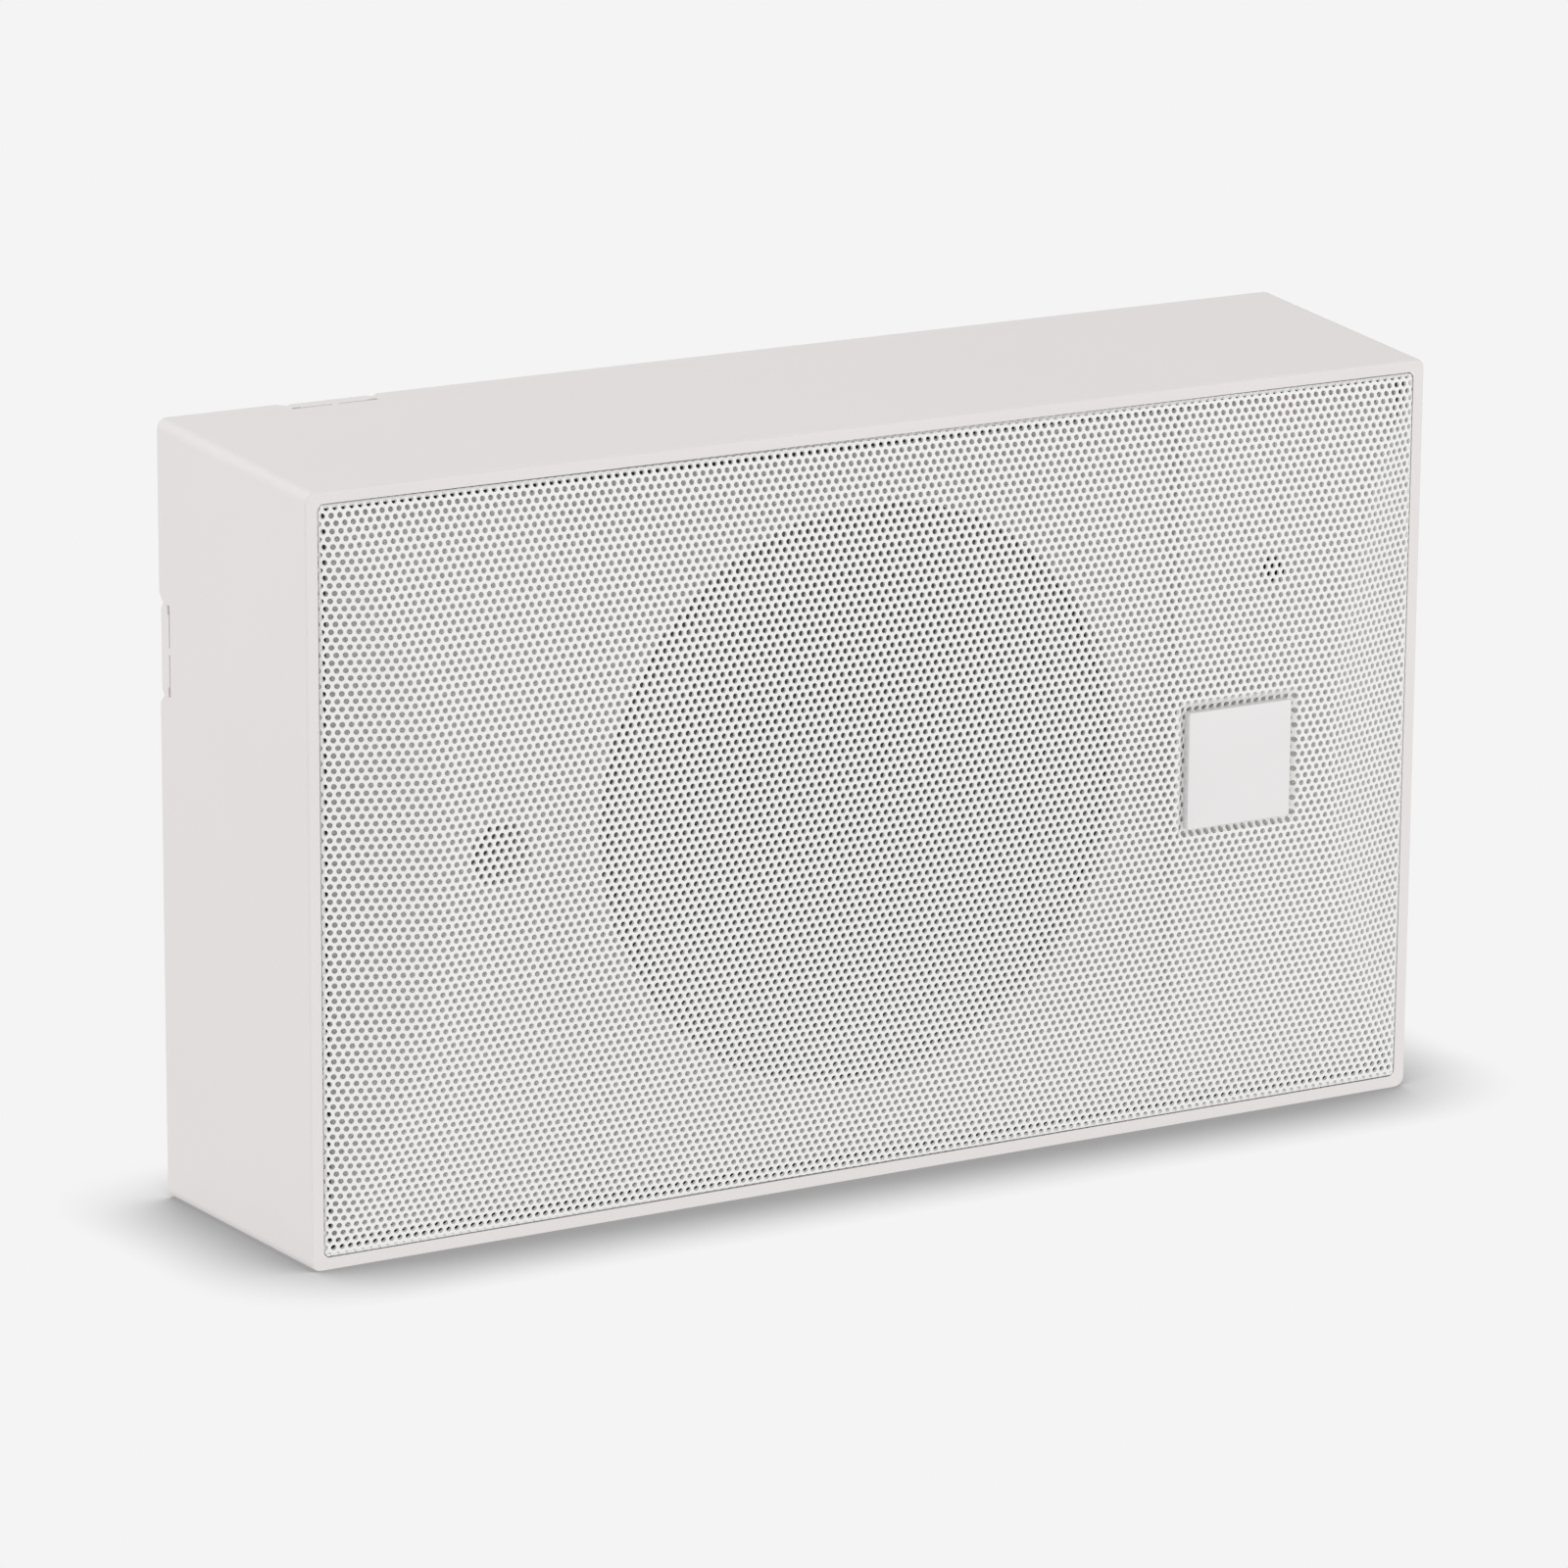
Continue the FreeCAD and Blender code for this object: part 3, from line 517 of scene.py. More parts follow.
# Surround: coated cloth pressed to a half roll, with a flat lip at each side.
# The outer lip is glued to the basket's flange and the inner one to the rim of the cone.
surround_low, surround_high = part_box("driver_surround")
lip_radius = surround_high.x
roll_radius = 0.004
outer_lip = 0.0047
lip_gap = 0.0002
surround_thickness = 0.0008
surround_sides = 96
roll_centre = lip_radius - outer_lip - roll_radius
lip_level = surround_low.y + roll_radius
roll_steps = 14
surround_line = [(lip_radius, lip_level)]
for step in range(roll_steps + 1):
    angle = math.pi * step / roll_steps
    surround_line.append(
        (roll_centre + roll_radius * math.cos(angle), lip_level - roll_radius * math.sin(angle))
    )
surround_line.append((cone_edge_radius + lip_gap, lip_level))
surround = turned("surround_roll", surround_line, surround_sides)
thicken(surround, surround_thickness)
surround_cloth = finish(
    "surround_cloth",
    (0.36, 0.355, 0.349),
    (0.45, 0.6),
    (2500, 0.00003),
    pattern=(cloth_weave, {"Thread Spacing": 0.0004}),
    dark=0.7,
    depth=0.00006,
)
dress(surround_cloth, surround)
hang(surround, "driver_surround")

# Connections: a strip of brown laminate on the flange with two tinned blades.
# From each blade a limp braid of copper tinsel goes in a loop to the back of the cone.
laminate_brown = finish(
    "laminate_brown",
    (0.23, 0.11, 0.045),
    (0.4, 0.5),
    (2500, 0.00002),
    tone=(400, 0.4),
    pattern=(fine_lines, {"Line Spacing": 0.0002, "Across": (0, 1, 0)}),
    dark=0.75,
    depth=0.00002,
)
tinned_bright = finish(
    "tinned_bright", (0.68, 0.68, 0.66), (0.25, 0.4), (1500, 0.00002), tone=(300, 0.15), Metallic=1
)
dress(laminate_brown, nodes["terminal_board"])
dress(tinned_bright, nodes["terminal_lugs"])
copper_braid = finish(
    "copper_braid",
    (0.58, 0.28, 0.13),
    (0.35, 0.45),
    (3000, 0.00002),
    pattern=(fine_lines, {"Line Spacing": 0.0004, "Across": (0.6, 0.5, 0.6)}),
    dark=0.35,
    depth=0.0001,
    Metallic=1,
)
tinsel_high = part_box("tinsel_leads")[1]
tinsel_radius = 0.0007
loop_level = tinsel_high.y - tinsel_radius
lead_spacing = 0.01
lug_end = tinsel_high.x - tinsel_radius
lug_level = -0.0451
lug_bend = 0.003
loop_start = 0.012
window_reach = 0.0527
window_before = 0.005
window_after = 0.003
window_rise = 0.004
lead_reach = 0.04
joint_depth = 0.0013
braid_edge = math.radians(60)
for name, side in (("tinsel_upper", 1), ("tinsel_lower", -1)):
    z = side * lead_spacing / 2
    route = (
        (lug_end, lug_level, z),
        (lug_end - lug_bend, lug_level + lug_bend, z),
        (lug_end - loop_start, loop_level, z),
        (window_reach + window_before, loop_level, z),
        (window_reach - window_after, tinsel_high.y - window_rise, z),
        (lead_reach, cone_level(lead_reach) + joint_depth, z),
    )
    line = bpy.data.curves.new(name, "CURVE")
    line.dimensions = "3D"
    line.bevel_depth = tinsel_radius
    line.bevel_resolution = 3
    line.use_fill_caps = True
    spline = line.splines.new("NURBS")
    spline.points.add(len(route) - 1)
    for point, place in zip(spline.points, route):
        point.co = (*place, 1)
    spline.use_endpoint_u = True
    spline.order_u = 3
    lead = bpy.data.objects.new(name, line)
    bpy.context.collection.objects.link(lead)
    hold(lead)
    bpy.ops.object.convert(target="MESH")
    lead = bpy.context.object
    bpy.ops.object.shade_smooth_by_angle(angle=braid_edge)
    dress(copper_braid, lead)
    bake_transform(lead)
    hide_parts("tinsel_leads")

# Screws: steel pan heads with a cross recess, black for the driver and zinc-plated for the rear cover.
# One is modelled for each length, on its own seat at the origin, and copied to its places.
head_radius = 0.0028
head_height = 0.002
head_rounding = 0.0012
head_sides = 28
shank_radius = 0.0015
shank_share = 0.8
point_share = 0.3
recess_reach = 0.0031
recess_width = 0.0008
recess_depth = 0.0013
recess_taper = (0.8, 1, 0.4)
first_turn = 0.4
next_turn = 1.1
hard_edge = math.radians(35)


def cut(piece, cutter):
    """Cuts a tool's form out of a piece."""
    bpy.context.view_layer.objects.active = piece
    tool = piece.modifiers.new("cut", "BOOLEAN")
    tool.operation = "DIFFERENCE"
    tool.solver = "EXACT"
    tool.object = cutter
    bpy.ops.object.modifier_apply(modifier="cut")


def pan_screw(name, length):
    """A screw on the origin, its seat in the plane of the wall and its head towards the wall."""
    bpy.ops.object.select_all(action="DESELECT")
    bpy.ops.mesh.primitive_cylinder_add(
        vertices=head_sides,
        radius=head_radius,
        depth=head_height,
        location=(0, head_height / 2, 0),
        rotation=(-math.pi / 2, 0, 0),
    )
    screw = bpy.context.object
    screw.name = name
    bpy.ops.object.transform_apply(location=True, rotation=True)
    bpy.ops.object.mode_set(mode="EDIT")
    choose(screw, "EDGE", lambda middle, run: middle.y > head_height * 0.99)
    bpy.ops.mesh.bevel(offset=head_rounding, segments=5, profile=0.5)
    choose(screw, "FACE", lambda middle, normal: normal.y < -0.9)
    bpy.ops.mesh.inset(thickness=head_radius - shank_radius)
    for share in (shank_share, 1 - shank_share):
        bpy.ops.mesh.extrude_region_move(TRANSFORM_OT_translate={"value": (0, -length * share, 0)})
    bpy.ops.transform.resize(value=(point_share, 1, point_share), center_override=(0, 0, 0))
    bpy.ops.object.mode_set(mode="OBJECT")
    for turn in (0, math.pi / 2):
        bpy.ops.object.select_all(action="DESELECT")
        bpy.ops.mesh.primitive_cube_add(
            size=1, location=(0, head_height, 0), scale=(recess_width, 2 * recess_depth, recess_reach)
        )
        blade = bpy.context.object
        bpy.ops.object.transform_apply(location=True, scale=True)
        bpy.ops.object.mode_set(mode="EDIT")
        choose(blade, "FACE", lambda middle, normal: normal.y < -0.9)
        bpy.ops.transform.resize(value=recess_taper, center_override=(0, 0, 0))
        bpy.ops.object.mode_set(mode="OBJECT")
        blade.rotation_euler.y = turn
        bpy.ops.object.transform_apply(rotation=True)
        cut(screw, blade)
        bpy.data.objects.remove(blade)
    hold(screw)
    bpy.ops.object.shade_smooth_by_angle(angle=hard_edge)
    return screw


def set_screws(screw, places, material, node, facing=1):
    """Copies a screw to its places, each copy with its own mesh, and takes the first one away."""
    for number, place in enumerate(places, 1):
        copy = screw.copy()
        copy.data = screw.data.copy()
        copy.name = f"{screw.name}_{number}"
        bpy.context.collection.objects.link(copy)
        turn = Matrix.Rotation(first_turn + next_turn * number, 4, "Y")
        if facing < 0:
            turn = Matrix.Rotation(math.pi, 4, "X") @ turn
        copy.data.transform(Matrix.Translation(place) @ turn)
        dress(material, copy)
        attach(copy, "cabinet_body")
        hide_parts(node)
    bpy.data.objects.remove(screw)


screw_black = finish("screw_black", (0.03, 0.03, 0.032), (0.35, 0.5), (1800, 0.00002), Metallic=0.6)
driver_low, driver_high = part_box("driver_screws")
driver_seat = driver_high.y - head_height
driver_reach = driver_high.x - head_radius
driver_places = [(sx * driver_reach, driver_seat, sz * driver_reach) for sx in (-1, 1) for sz in (-1, 1)]
driver_screw = pan_screw("driver_screw", driver_seat - driver_low.y)
set_screws(driver_screw, driver_places, screw_black, "driver_screws")

# Line transformer: varnished iron sheets in a plated strap, with a taped winding on a nylon bobbin.
# The strap is held under a ledge above, and by one black screw from the front of the baffle below.
core_iron = finish(
    "core_iron",
    (0.15, 0.15, 0.16),
    (0.4, 0.6),
    (1500, 0.00003),
    tone=(120, 0.3),
    pattern=(fine_lines, {"Line Spacing": 0.0005, "Across": (1, 0, 0)}),
    dark=0.4,
    depth=0.00008,
    Metallic=0.7,
)
bobbin_nylon = finish(
    "bobbin_nylon",
    (0.68, 0.63, 0.5),
    (0.45, 0.55),
    (1800, 0.00002),
    Subsurface_Weight=0.15,
    Subsurface_Scale=0.001,
)
winding_tape = finish(
    "winding_tape",
    (0.62, 0.42, 0.06),
    (0.2, 0.3),
    (900, 0.00004),
    tone=(90, 0.2),
    pattern=(fine_lines, {"Line Spacing": 0.004, "Across": (0, 1, 0)}),
    dark=0.75,
    depth=0.0001,
)
zinc_pressed = finish(
    "zinc_pressed", (0.62, 0.63, 0.63), (0.3, 0.45), (700, 0.00003), tone=(150, 0.12), Metallic=1
)
dress(core_iron, nodes["transformer_core"])
dress(bobbin_nylon, nodes["transformer_bobbin"])
dress(winding_tape, nodes["transformer_winding"])
dress(zinc_pressed, nodes["transformer_strap"])
screw_low, screw_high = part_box("transformer_screw")
screw_place = ((screw_low.x + screw_high.x) / 2, screw_low.y + head_height, (screw_low.z + screw_high.z) / 2)
fixing = pan_screw("transformer_fixing", screw_high.y - screw_place[1])
set_screws(fixing, [screw_place], screw_black, "transformer_screw", facing=-1)

# Rear cover: a white moulded plate inside the case walls, with a pocket for the line terminals.
# Four plated screws hold it to bosses of the case, deep enough for the cable to pass behind it.
cover_white = finish("cover_white", (0.70, 0.675, 0.66), (0.48, 0.6), (2000, 0.00004), tone=(30, 0.06))
dress(cover_white, nodes["rear_cover"])
cover_low, cover_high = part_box("rear_cover_screws")
cover_seat = cover_high.y - head_height
cover_x, cover_z = cover_high.x - head_radius, cover_high.z - head_radius
cover_places = [(sx * cover_x, cover_seat, sz * cover_z) for sx in (-1, 1) for sz in (-1, 1)]
cover_screw = pan_screw("cover_screw", cover_seat - cover_low.y)
set_screws(cover_screw, cover_places, zinc_pressed, "rear_cover_screws")

# Line terminals: a black moulded block of three ways, held between two ribs of the pocket.
# Each way has a wire entry below, a barrier at each side and a slotted clamp screw in a well.
block_low, block_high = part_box("terminal_block")
block_middle = (block_low + block_high) / 2
block_size = block_high - block_low
ways = 3
barrier_width = 0.0012
barrier_rise = 0.0012
well_radius = 0.0028
wire_radius = 0.0016
drill_sides = 24
terminal_rounding = 0.0003
face_margin = 0.0001
hair = 0.00001
way_middles = [block_low.x + (way + 0.5) * block_size.x / ways for way in range(ways)]
barriers = [block_low.x + barrier_width / 2]
barriers += [block_low.x + way * block_size.x / ways for way in range(1, ways)]
barriers += [block_high.x - barrier_width / 2]
bpy.ops.object.select_all(action="DESELECT")
bpy.ops.mesh.primitive_cube_add(size=1, location=block_middle, scale=block_size)
terminal = bpy.context.object
terminal.name = "terminal_block_body"
bpy.ops.object.transform_apply(location=True, scale=True)
bpy.ops.object.mode_set(mode="EDIT")
for barrier in barriers:
    for edge in (barrier - barrier_width / 2, barrier + barrier_width / 2):
        if block_low.x + face_margin < edge < block_high.x - face_margin:
            bpy.ops.mesh.select_all(action="SELECT")
            bpy.ops.mesh.bisect(plane_co=(edge, 0, 0), plane_no=(1, 0, 0))


def on_barrier(middle, normal):
    """True of the faces that stand up as the barriers between the ways."""
    return normal.y > 0.9 and any(abs(middle.x - barrier) < barrier_width / 2 for barrier in barriers)


choose(terminal, "FACE", on_barrier)
bpy.ops.mesh.extrude_region_move(TRANSFORM_OT_translate={"value": (0, barrier_rise, 0)})
bpy.ops.object.mode_set(mode="OBJECT")
for middle_x in way_middles:
    for radius, length, place, turn in (
        (well_radius, block_size.y, (middle_x, block_high.y, block_middle.z), (math.pi / 2, 0, 0)),
        (wire_radius, 2 * block_size.z, (middle_x, block_middle.y, block_middle.z), (0, 0, 0)),
    ):
        bpy.ops.object.select_all(action="DESELECT")
        bpy.ops.mesh.primitive_cylinder_add(
            vertices=drill_sides, radius=radius, depth=length, location=place, rotation=turn
        )
        drill = bpy.context.object
        bpy.ops.object.transform_apply(location=True, rotation=True)
        cut(terminal, drill)
        bpy.data.objects.remove(drill)
soft_edge = terminal.modifiers.new("soft_edge", "BEVEL")
soft_edge.width = terminal_rounding
soft_edge.segments = 2
soft_edge.limit_method = "ANGLE"
hold(terminal)
bpy.ops.object.modifier_apply(modifier="soft_edge")
bpy.ops.object.shade_smooth_by_angle(angle=hard_edge)
terminal_black = finish("terminal_black", (0.045, 0.045, 0.048), (0.4, 0.52), (2200, 0.00003))
dress(terminal_black, terminal)
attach(terminal, "cabinet_body")
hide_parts("terminal_block")

clamp_low, clamp_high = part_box("terminal_clamp_screws")
clamp_height = clamp_high.y - clamp_low.y
clamp_radius = (clamp_high.z - clamp_low.z) / 2
clamp_rounding = 0.0003
slot_width = 0.0009
slot_depth = 0.0009
slot_turn = 0.5
for number, middle_x in enumerate(way_middles, 1):
    bpy.ops.object.select_all(action="DESELECT")
    bpy.ops.mesh.primitive_cylinder_add(
        vertices=head_sides,
        radius=clamp_radius,
        depth=clamp_height,
        location=(middle_x, clamp_low.y + clamp_height / 2, block_middle.z),
        rotation=(-math.pi / 2, 0, 0),
    )
    clamp = bpy.context.object
    clamp.name = f"clamp_screw_{number}"
    bpy.ops.object.transform_apply(location=True, rotation=True)
    bpy.ops.object.mode_set(mode="EDIT")
    choose(clamp, "EDGE", lambda middle, run: middle.y > clamp_high.y - hair)
    bpy.ops.mesh.bevel(offset=clamp_rounding, segments=3, profile=0.5)
    bpy.ops.object.mode_set(mode="OBJECT")
    bpy.ops.object.select_all(action="DESELECT")
    bpy.ops.mesh.primitive_cube_add(
        size=1,
        location=(middle_x, clamp_high.y, block_middle.z),
        rotation=(0, slot_turn * number, 0),
        scale=(slot_width, 2 * slot_depth, 3 * clamp_radius),
    )
    blade = bpy.context.object
    bpy.ops.object.transform_apply(location=True, rotation=True, scale=True)
    cut(clamp, blade)
    bpy.data.objects.remove(blade)
    hold(clamp)
    bpy.ops.object.shade_smooth_by_angle(angle=hard_edge)
    dress(tinned_bright, clamp)
    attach(clamp, "cabinet_body")
    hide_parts("terminal_clamp_screws")

# Grille: one steel sheet, punched all over with staggered round holes, then pressed to an arch
# with sloping ends and a flat seat for the badge, turned in at the rim and powder-coated white.
hole_pitch = 0.002008
row_step = 0.001726
hole_radius = 0.00068
sheet_thickness = 0.0008
sheet_turn = 0.0055
columns = 150
rows = 108
cell_sides = 6
hole_sides = 8
joint_reach = 0.00003
shortest_edge = 0.00002
grille_low, grille_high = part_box("grille")
half_width, half_height = grille_high.x, grille_high.z
crown, rim_edge = grille_low.y, grille_high.y
bulge = 0.0083
end_run = 0.025
bend_radius = 0.0011
corner_radius = 0.0013
crease_softness = 0.0008
badge_low, badge_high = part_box("badge")
badge_x = (badge_low.x + badge_high.x) / 2
badge_half = (badge_high.x - badge_low.x) / 2
seat_level = -0.076
seat_margin = 0.0002
seat_slope = 0.0023

bpy.ops.object.select_all(action="DESELECT")
bpy.ops.mesh.primitive_circle_add(
    vertices=cell_sides, radius=hole_pitch / math.sqrt(3), rotation=(math.pi / 2, 0, 0)
)
sheet = bpy.context.object
bpy.ops.object.transform_apply(rotation=True)
bpy.ops.object.mode_set(mode="EDIT")
bpy.ops.mesh.primitive_circle_add(
    vertices=hole_sides, radius=hole_radius, rotation=(math.pi / 2, math.pi / hole_sides, 0)
)
bpy.ops.mesh.select_all(action="SELECT")
bpy.ops.mesh.bridge_edge_loops(type="CLOSED")
bpy.ops.mesh.select_all(action="SELECT")
bpy.ops.transform.translate(value=(-hole_pitch * columns / 2, 0, -row_step * (rows - 1) / 2))
bpy.ops.object.mode_set(mode="OBJECT")
for name, count, step in (
    ("along_row", columns, (hole_pitch, 0, 0)),
    ("staggered_row", 2, (hole_pitch / 2, 0, row_step)),
    ("up_the_sheet", rows // 2, (0, 0, 2 * row_step)),
):
    array = sheet.modifiers.new(name, "ARRAY")
    array.count = count
    array.use_relative_offset = False
    array.use_constant_offset = True
    array.constant_offset_displace = step
    array.use_merge_vertices = True
    array.merge_threshold = joint_reach
    bpy.ops.object.modifier_apply(modifier=name)
sheet.rotation_euler.y = sheet_turn
bpy.ops.object.transform_apply(rotation=True)

arch_radius = (half_height ** 2 + bulge ** 2) / (2 * bulge)
end_slope = math.atan2(bulge, end_run)
crease_start = half_width - end_run
bend_start = math.asin((half_height - bend_radius) / (arch_radius - bend_radius))
arch_length = bend_start * arch_radius
arch_bend = (math.pi / 2 - bend_start) * bend_radius
arch_turn = crown + arch_radius * (1 - math.cos(bend_start))
end_stop = half_width - bend_radius * (1 - math.sin(end_slope))
end_bend = (math.pi / 2 - end_slope) * bend_radius
end_turn = crown + (end_stop - crease_start) * math.tan(end_slope)

flat = np.empty(len(sheet.data.vertices) * 3)
sheet.data.vertices.foreach_get("co", flat)
flat = flat.reshape(-1, 3)
across, up = np.abs(flat[:, 0]), np.abs(flat[:, 2])

# The arch bends the sheet about the long axis, and the rim turns in along its two long edges.
turn = np.clip((up - arch_length) / bend_radius, 0, math.pi / 2 - bend_start) + bend_start
angle = np.minimum(up, arch_length) / arch_radius
z = np.where(
    up <= arch_length,
    arch_radius * np.sin(angle),
    half_height - bend_radius + bend_radius * np.sin(turn),
)
y_arch = np.where(
    up <= arch_length,
    crown + arch_radius * (1 - np.cos(angle)),
    arch_turn + bend_radius * (math.cos(bend_start) - np.cos(turn)),
)
y_arch += np.maximum(up - arch_length - arch_bend, 0)

# Each end slopes back from a crease that runs with the arch, and the rim turns in along it.
crease = np.minimum(crease_start + (y_arch - crown) / math.tan(end_slope), end_stop)
end_length = crease + (end_stop - crease) / math.cos(end_slope)
turn = np.clip((across - end_length) / bend_radius, 0, math.pi / 2 - end_slope) + end_slope
x = np.where(
    across <= crease,
    across,
    np.where(
        across <= end_length,
        crease + (across - crease) * math.cos(end_slope),
        half_width - bend_radius + bend_radius * np.sin(turn),
    ),
)
y_end = np.where(
    across <= end_length,
    crown + (x - crease_start) * math.tan(end_slope),
    end_turn + bend_radius * (math.cos(end_slope) - np.cos(turn)),
)
y_end += np.maximum(across - end_length - end_bend, 0)
y = (y_arch + y_end + np.sqrt((y_arch - y_end) ** 2 + crease_softness ** 2)) / 2

# The four corners are drawn in round, and the seat of the badge is pressed back flat.
over_x, over_z = x - half_width + corner_radius, z - half_height + corner_radius
reach = np.maximum(np.hypot(over_x, over_z), corner_radius)
at_corner = (over_x > 0) & (over_z > 0)
x = np.where(at_corner, half_width - corner_radius + over_x * corner_radius / reach, x)
z = np.where(at_corner, half_height - corner_radius + over_z * corner_radius / reach, z)
x, z = x * np.sign(flat[:, 0]), z * np.sign(flat[:, 2])
beside = np.maximum(np.abs(x - badge_x), np.abs(z)) - badge_half
dip = np.clip((seat_margin + seat_slope - beside) / seat_slope, 0, 1)
dip = dip * dip * (3 - 2 * dip)
y = y + (seat_level - y) * dip
sheet.data.vertices.foreach_set("co", np.stack([x, y, z], 1).ravel())
sheet.data.update()
bpy.ops.object.mode_set(mode="EDIT")
bpy.ops.mesh.select_all(action="SELECT")
bpy.ops.mesh.bisect(plane_co=(0, rim_edge, 0), plane_no=(0, 1, 0), clear_outer=True)
bpy.ops.mesh.select_all(action="SELECT")
bpy.ops.mesh.dissolve_degenerate(threshold=shortest_edge)
bpy.ops.object.mode_set(mode="OBJECT")

powder_white = finish("powder_white", (0.825, 0.822, 0.814), (0.38, 0.46), (1800, 0.00004))
strip_edge = 0.07
for name, low, high in (
    ("grille_left", -1, -strip_edge),
    ("grille_mid_left", -strip_edge, 0),
    ("grille_mid_right", 0, strip_edge),
    ("grille_right", strip_edge, 1),
):
    strip = sheet.copy()
    strip.data = sheet.data.copy()
    strip.name = name
    bpy.context.collection.objects.link(strip)
    hold(strip)
    bpy.ops.object.mode_set(mode="EDIT")
    choose(strip, "FACE", lambda middle, normal: not low <= middle.x < high)
    bpy.ops.mesh.delete(type="FACE")
    bpy.ops.mesh.select_all(action="SELECT")
    bpy.ops.mesh.delete_loose()
    bpy.ops.object.mode_set(mode="OBJECT")
    wall = strip.modifiers.new("thickness", "SOLIDIFY")
    wall.thickness = sheet_thickness
    wall.offset = -1
    bpy.ops.object.modifier_apply(modifier="thickness")
    dress(powder_white, strip)
    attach(strip, "cabinet_body")
    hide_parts("grille")
bpy.data.objects.remove(sheet)

# Seal: a strip of black foam on the baffle, just inside the grille's rim, put there to darken the first row
# of holes.
# It is cut from thin foam sheet and glued down, and shows dark through the first row of holes.
seal_width = 0.0012
seal_height = 0.0033
seal_gap = 0.0009
seal_rounding = 0.0004
bpy.ops.object.select_all(action="DESELECT")
bpy.ops.mesh.primitive_plane_add(size=2, location=(0, rim_edge, 0), rotation=(math.pi / 2, 0, 0))
seal = bpy.context.object
seal.name = "grille_seal"
seal.scale = (half_width - seal_gap, half_height - seal_gap, 1)
bpy.ops.object.transform_apply(location=True, rotation=True, scale=True)
bpy.ops.object.mode_set(mode="EDIT")
bpy.ops.mesh.select_all(action="SELECT")
bpy.ops.mesh.inset(thickness=seal_width)
bpy.ops.mesh.delete(type="FACE")
bpy.ops.mesh.select_all(action="SELECT")
bpy.ops.mesh.extrude_region_move(TRANSFORM_OT_translate={"value": (0, -seal_height, 0)})
bpy.ops.mesh.select_all(action="SELECT")
bpy.ops.mesh.normals_make_consistent(inside=False)
choose(seal, "EDGE", lambda middle, run: middle.y < rim_edge - seal_height + hair and abs(run.y) < 0.1)
bpy.ops.mesh.bevel(offset=seal_rounding, segments=2, profile=0.5)
bpy.ops.object.mode_set(mode="OBJECT")
dress(gasket_foam, seal)
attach(seal, "cabinet_body")

# Badge: a bare flat plate in satin white, with crisp edges, standing in the sheet's seat.
# Two studs on its back go through the sheet, and a plated spring clip is pushed on each.
badge_corner = 0.0006
badge_rounding = 0.0003
stud_radius = 0.0015
stud_spacing = 0.016
stud_sides = 24
stud_root = 0.0004
bpy.ops.object.select_all(action="DESELECT")
bpy.ops.mesh.primitive_cube_add(
    size=1,
    location=(badge_x, (badge_low.y + seat_level) / 2, 0),
    scale=(2 * badge_half, seat_level - badge_low.y, 2 * badge_half),
)
badge = bpy.context.object
badge.name = "badge_plate"
bpy.ops.object.transform_apply(location=True, scale=True)
bpy.ops.object.mode_set(mode="EDIT")
choose(badge, "EDGE", lambda middle, run: abs(run.y) > 0.9)
bpy.ops.mesh.bevel(offset=badge_corner, segments=4, profile=0.5)
choose(badge, "EDGE", lambda middle, run: middle.y < badge_low.y + hair)
bpy.ops.mesh.bevel(offset=badge_rounding, segments=3, profile=0.5)
bpy.ops.mesh.select_all(action="DESELECT")
for side in (-1, 1):
    bpy.ops.mesh.primitive_cylinder_add(
        vertices=stud_sides,
        radius=stud_radius,
        depth=badge_high.y - seat_level + stud_root,
        location=(badge_x, (badge_high.y + seat_level - stud_root) / 2, side * stud_spacing / 2),
        rotation=(math.pi / 2, 0, 0),
    )
bpy.ops.object.mode_set(mode="OBJECT")
bpy.ops.object.shade_smooth_by_angle(angle=hard_edge)
badge_white = finish("badge_white", (0.775, 0.753, 0.757), (0.3, 0.36), (3000, 0.00002))
dress(badge_white, badge)
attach(badge, "cabinet_body")
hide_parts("badge")
dress(zinc_pressed, nodes["badge_clips"])

# Floor: a pale table under the case's lower side, with the soft shadow of the case close to it.
# The case's walls are drafted, so the table follows the lower wall as it lies on it.
backdrop = 0.905
draft = math.radians(-2.08)
floor_radius = 6
floor_sides = 96
bounce_level = 0.9
shadow_reach = 0.0295
shadow_power = 1.25
shadow_darkest = 0.39


def seen_plain(tree, lit, plain, end):
    """Shows one shader to the lights and another, plain one to the camera and in clear reflections."""
    path = put(tree, "LightPath").outputs
    seen = path["Is Camera Ray"]
    for ray in ("Is Glossy Ray", "Is Transmission Ray"):
        seen = put(tree, "Math", {0: seen, 1: path[ray]}, operation="MAXIMUM").outputs[0]
    mixed = put(tree, "MixShader", {0: seen, 1: lit, 2: plain})
    tree.links.new(mixed.outputs[0], tree.nodes[end].inputs["Surface"])


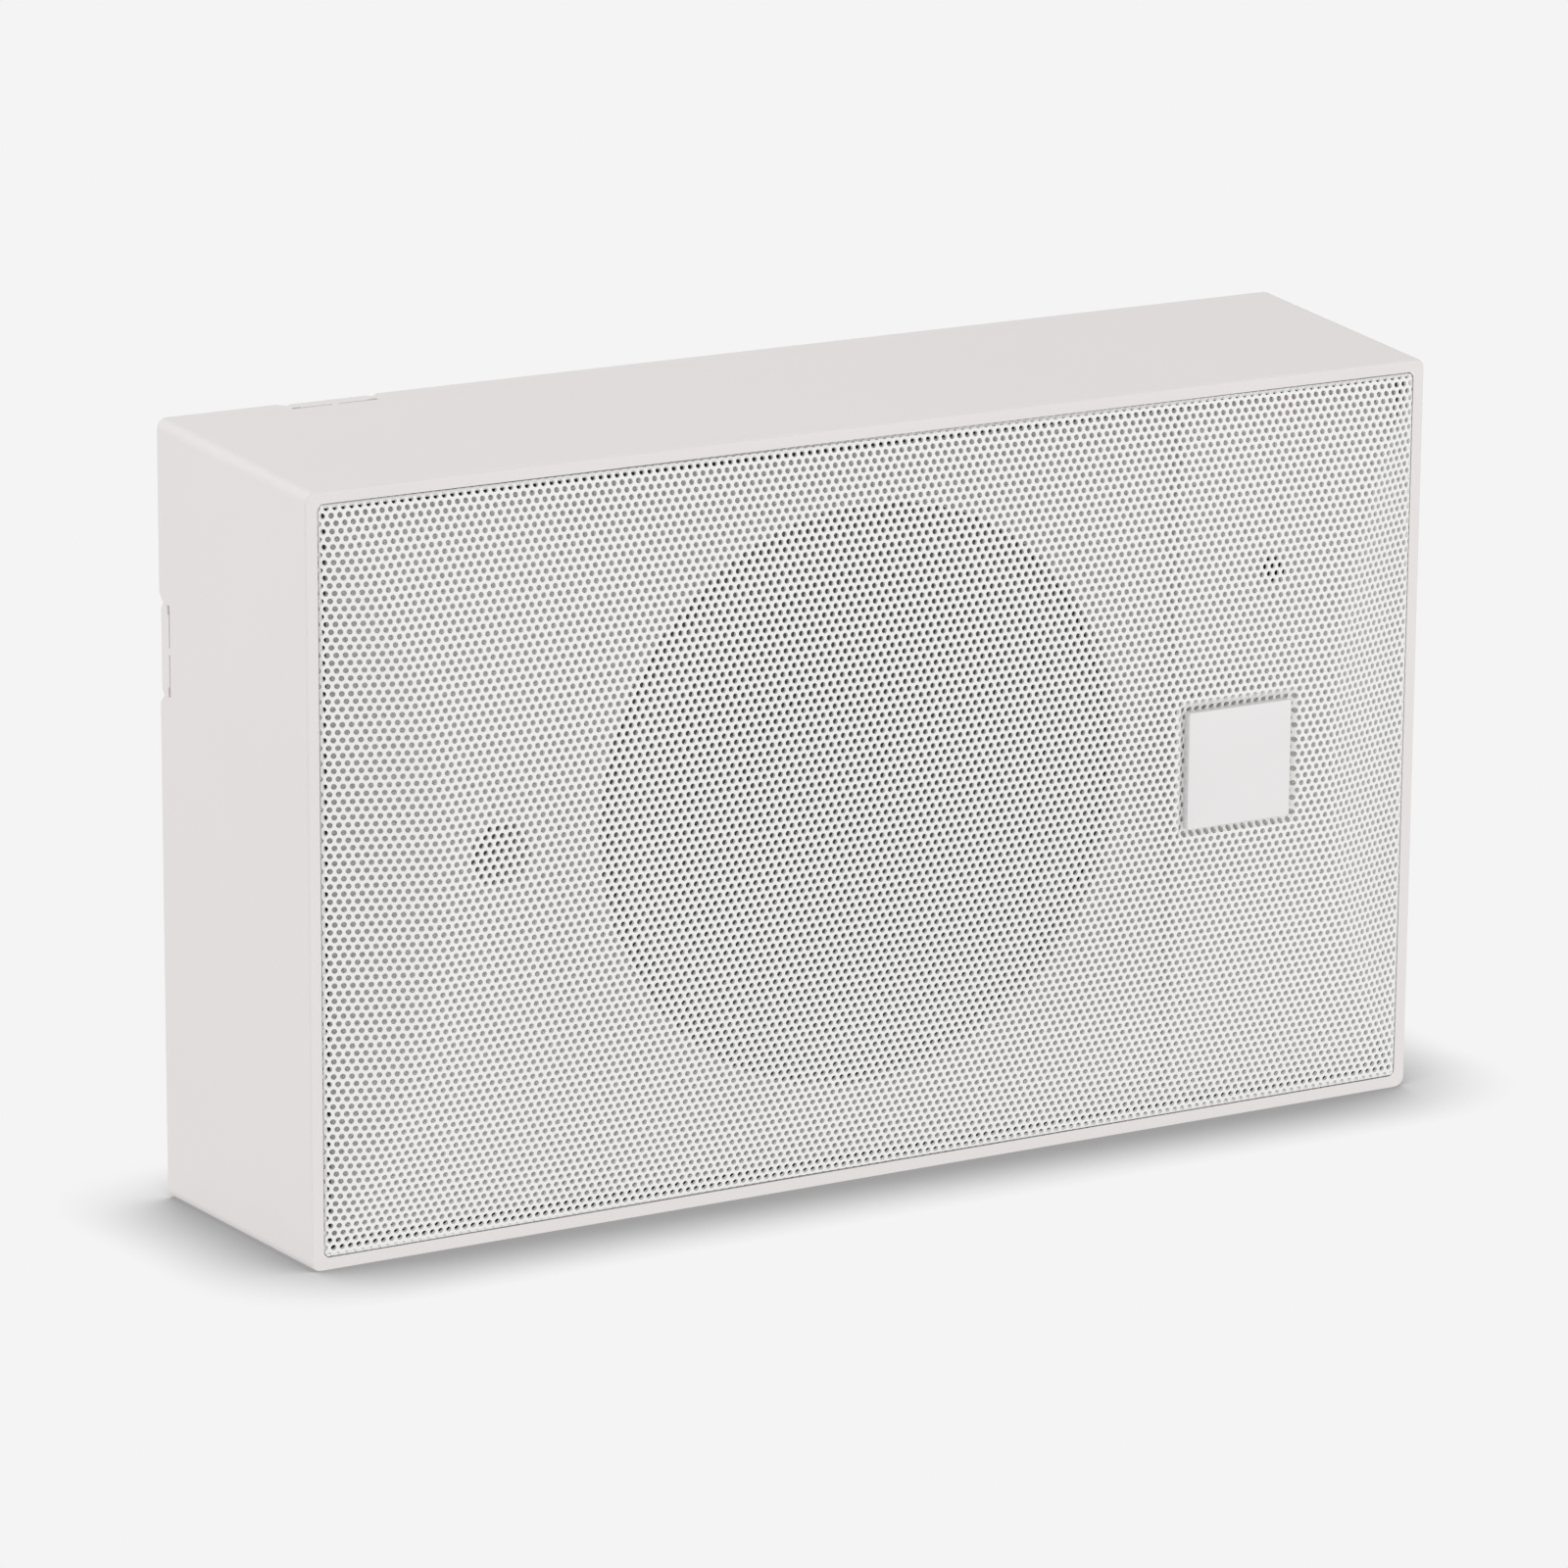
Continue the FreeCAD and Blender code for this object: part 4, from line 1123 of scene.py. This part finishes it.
bpy.ops.object.select_all(action="DESELECT")
bpy.ops.mesh.primitive_circle_add(
    vertices=floor_sides,
    radius=floor_radius,
    fill_type="NGON",
    location=(0, 0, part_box("cabinet")[0].z),
    rotation=(draft, 0, 0),
)
floor = bpy.context.object
floor.name = "floor"
floor_paint = bpy.data.materials.new("floor_paint")
floor_paint.use_nodes = True
tree = floor_paint.node_tree
bounce = put(tree, "Emission", {"Strength": bounce_level})
near = put(tree, "AmbientOcclusion", {"Distance": shadow_reach}, samples=16).outputs["AO"]
shade = put(tree, "Math", {0: near, 1: shadow_power}, operation="POWER").outputs[0]
shade = put(tree, "Math", {0: shade, 1: shadow_darkest}, operation="MAXIMUM").outputs[0]
glow = put(tree, "Emission", {"Color": (backdrop, backdrop, backdrop, 1), "Strength": shade})
seen_plain(tree, bounce.outputs[0], glow.outputs[0], "Material Output")
dress(floor_paint, floor)

# Light and camera: an even white room with a wide soft light at the right of the front, a large one above
# and behind on the left, which draws the upper edges, and two weak fills on the camera's side.
ambient_level = 0.63
world = bpy.data.worlds.new("studio")
bpy.context.scene.world = world
world.use_nodes = True
tree = world.node_tree
ambient = tree.nodes["Background"]
ambient.inputs["Color"].default_value = (1, 1, 1, 1)
ambient.inputs["Strength"].default_value = ambient_level
plain = put(tree, "Background", {"Color": (backdrop, backdrop, backdrop, 1)})
seen_plain(tree, ambient.outputs[0], plain.outputs[0], "World Output")

for name, place, size, power in (
    ("front_softbox", (1.1, -1.5, 0.25), 1.2, 8.8),
    ("camera_fill", (-0.87, -1.56, 0.48), 0.35, 4.0),
    ("left_softbox", (-1.65, 1.0, 2.35), 1.0, 30.0),
    ("low_fill", (-0.7, -1.5, 0.0), 1.0, 0.8),
):
    lamp = bpy.data.lights.new(name, "AREA")
    lamp.size = size
    lamp.energy = power
    holder = bpy.data.objects.new(name, lamp)
    bpy.context.collection.objects.link(holder)
    holder.location = place
    holder.rotation_euler = (-Vector(place)).to_track_quat("-Z", "Y").to_euler()

focal_length = 183.33
film_width = 36
nearest_seen = 0.05
camera_place = (-0.86633, -1.56097, 0.48459)
lens = bpy.data.cameras.new("camera")
lens.lens = focal_length
lens.sensor_width = film_width
lens.clip_start = nearest_seen
camera = bpy.data.objects.new("camera", lens)
bpy.context.collection.objects.link(camera)
right = Vector((0.872018, -0.48943, 0.006609))
up = Vector((0.125647, 0.236873, 0.963382))
back = Vector((-0.473073, -0.839255, 0.268053))
aim = Matrix((right, up, back)).transposed().to_4x4()
aim.translation = camera_place
camera.matrix_world = aim
bpy.context.scene.camera = camera
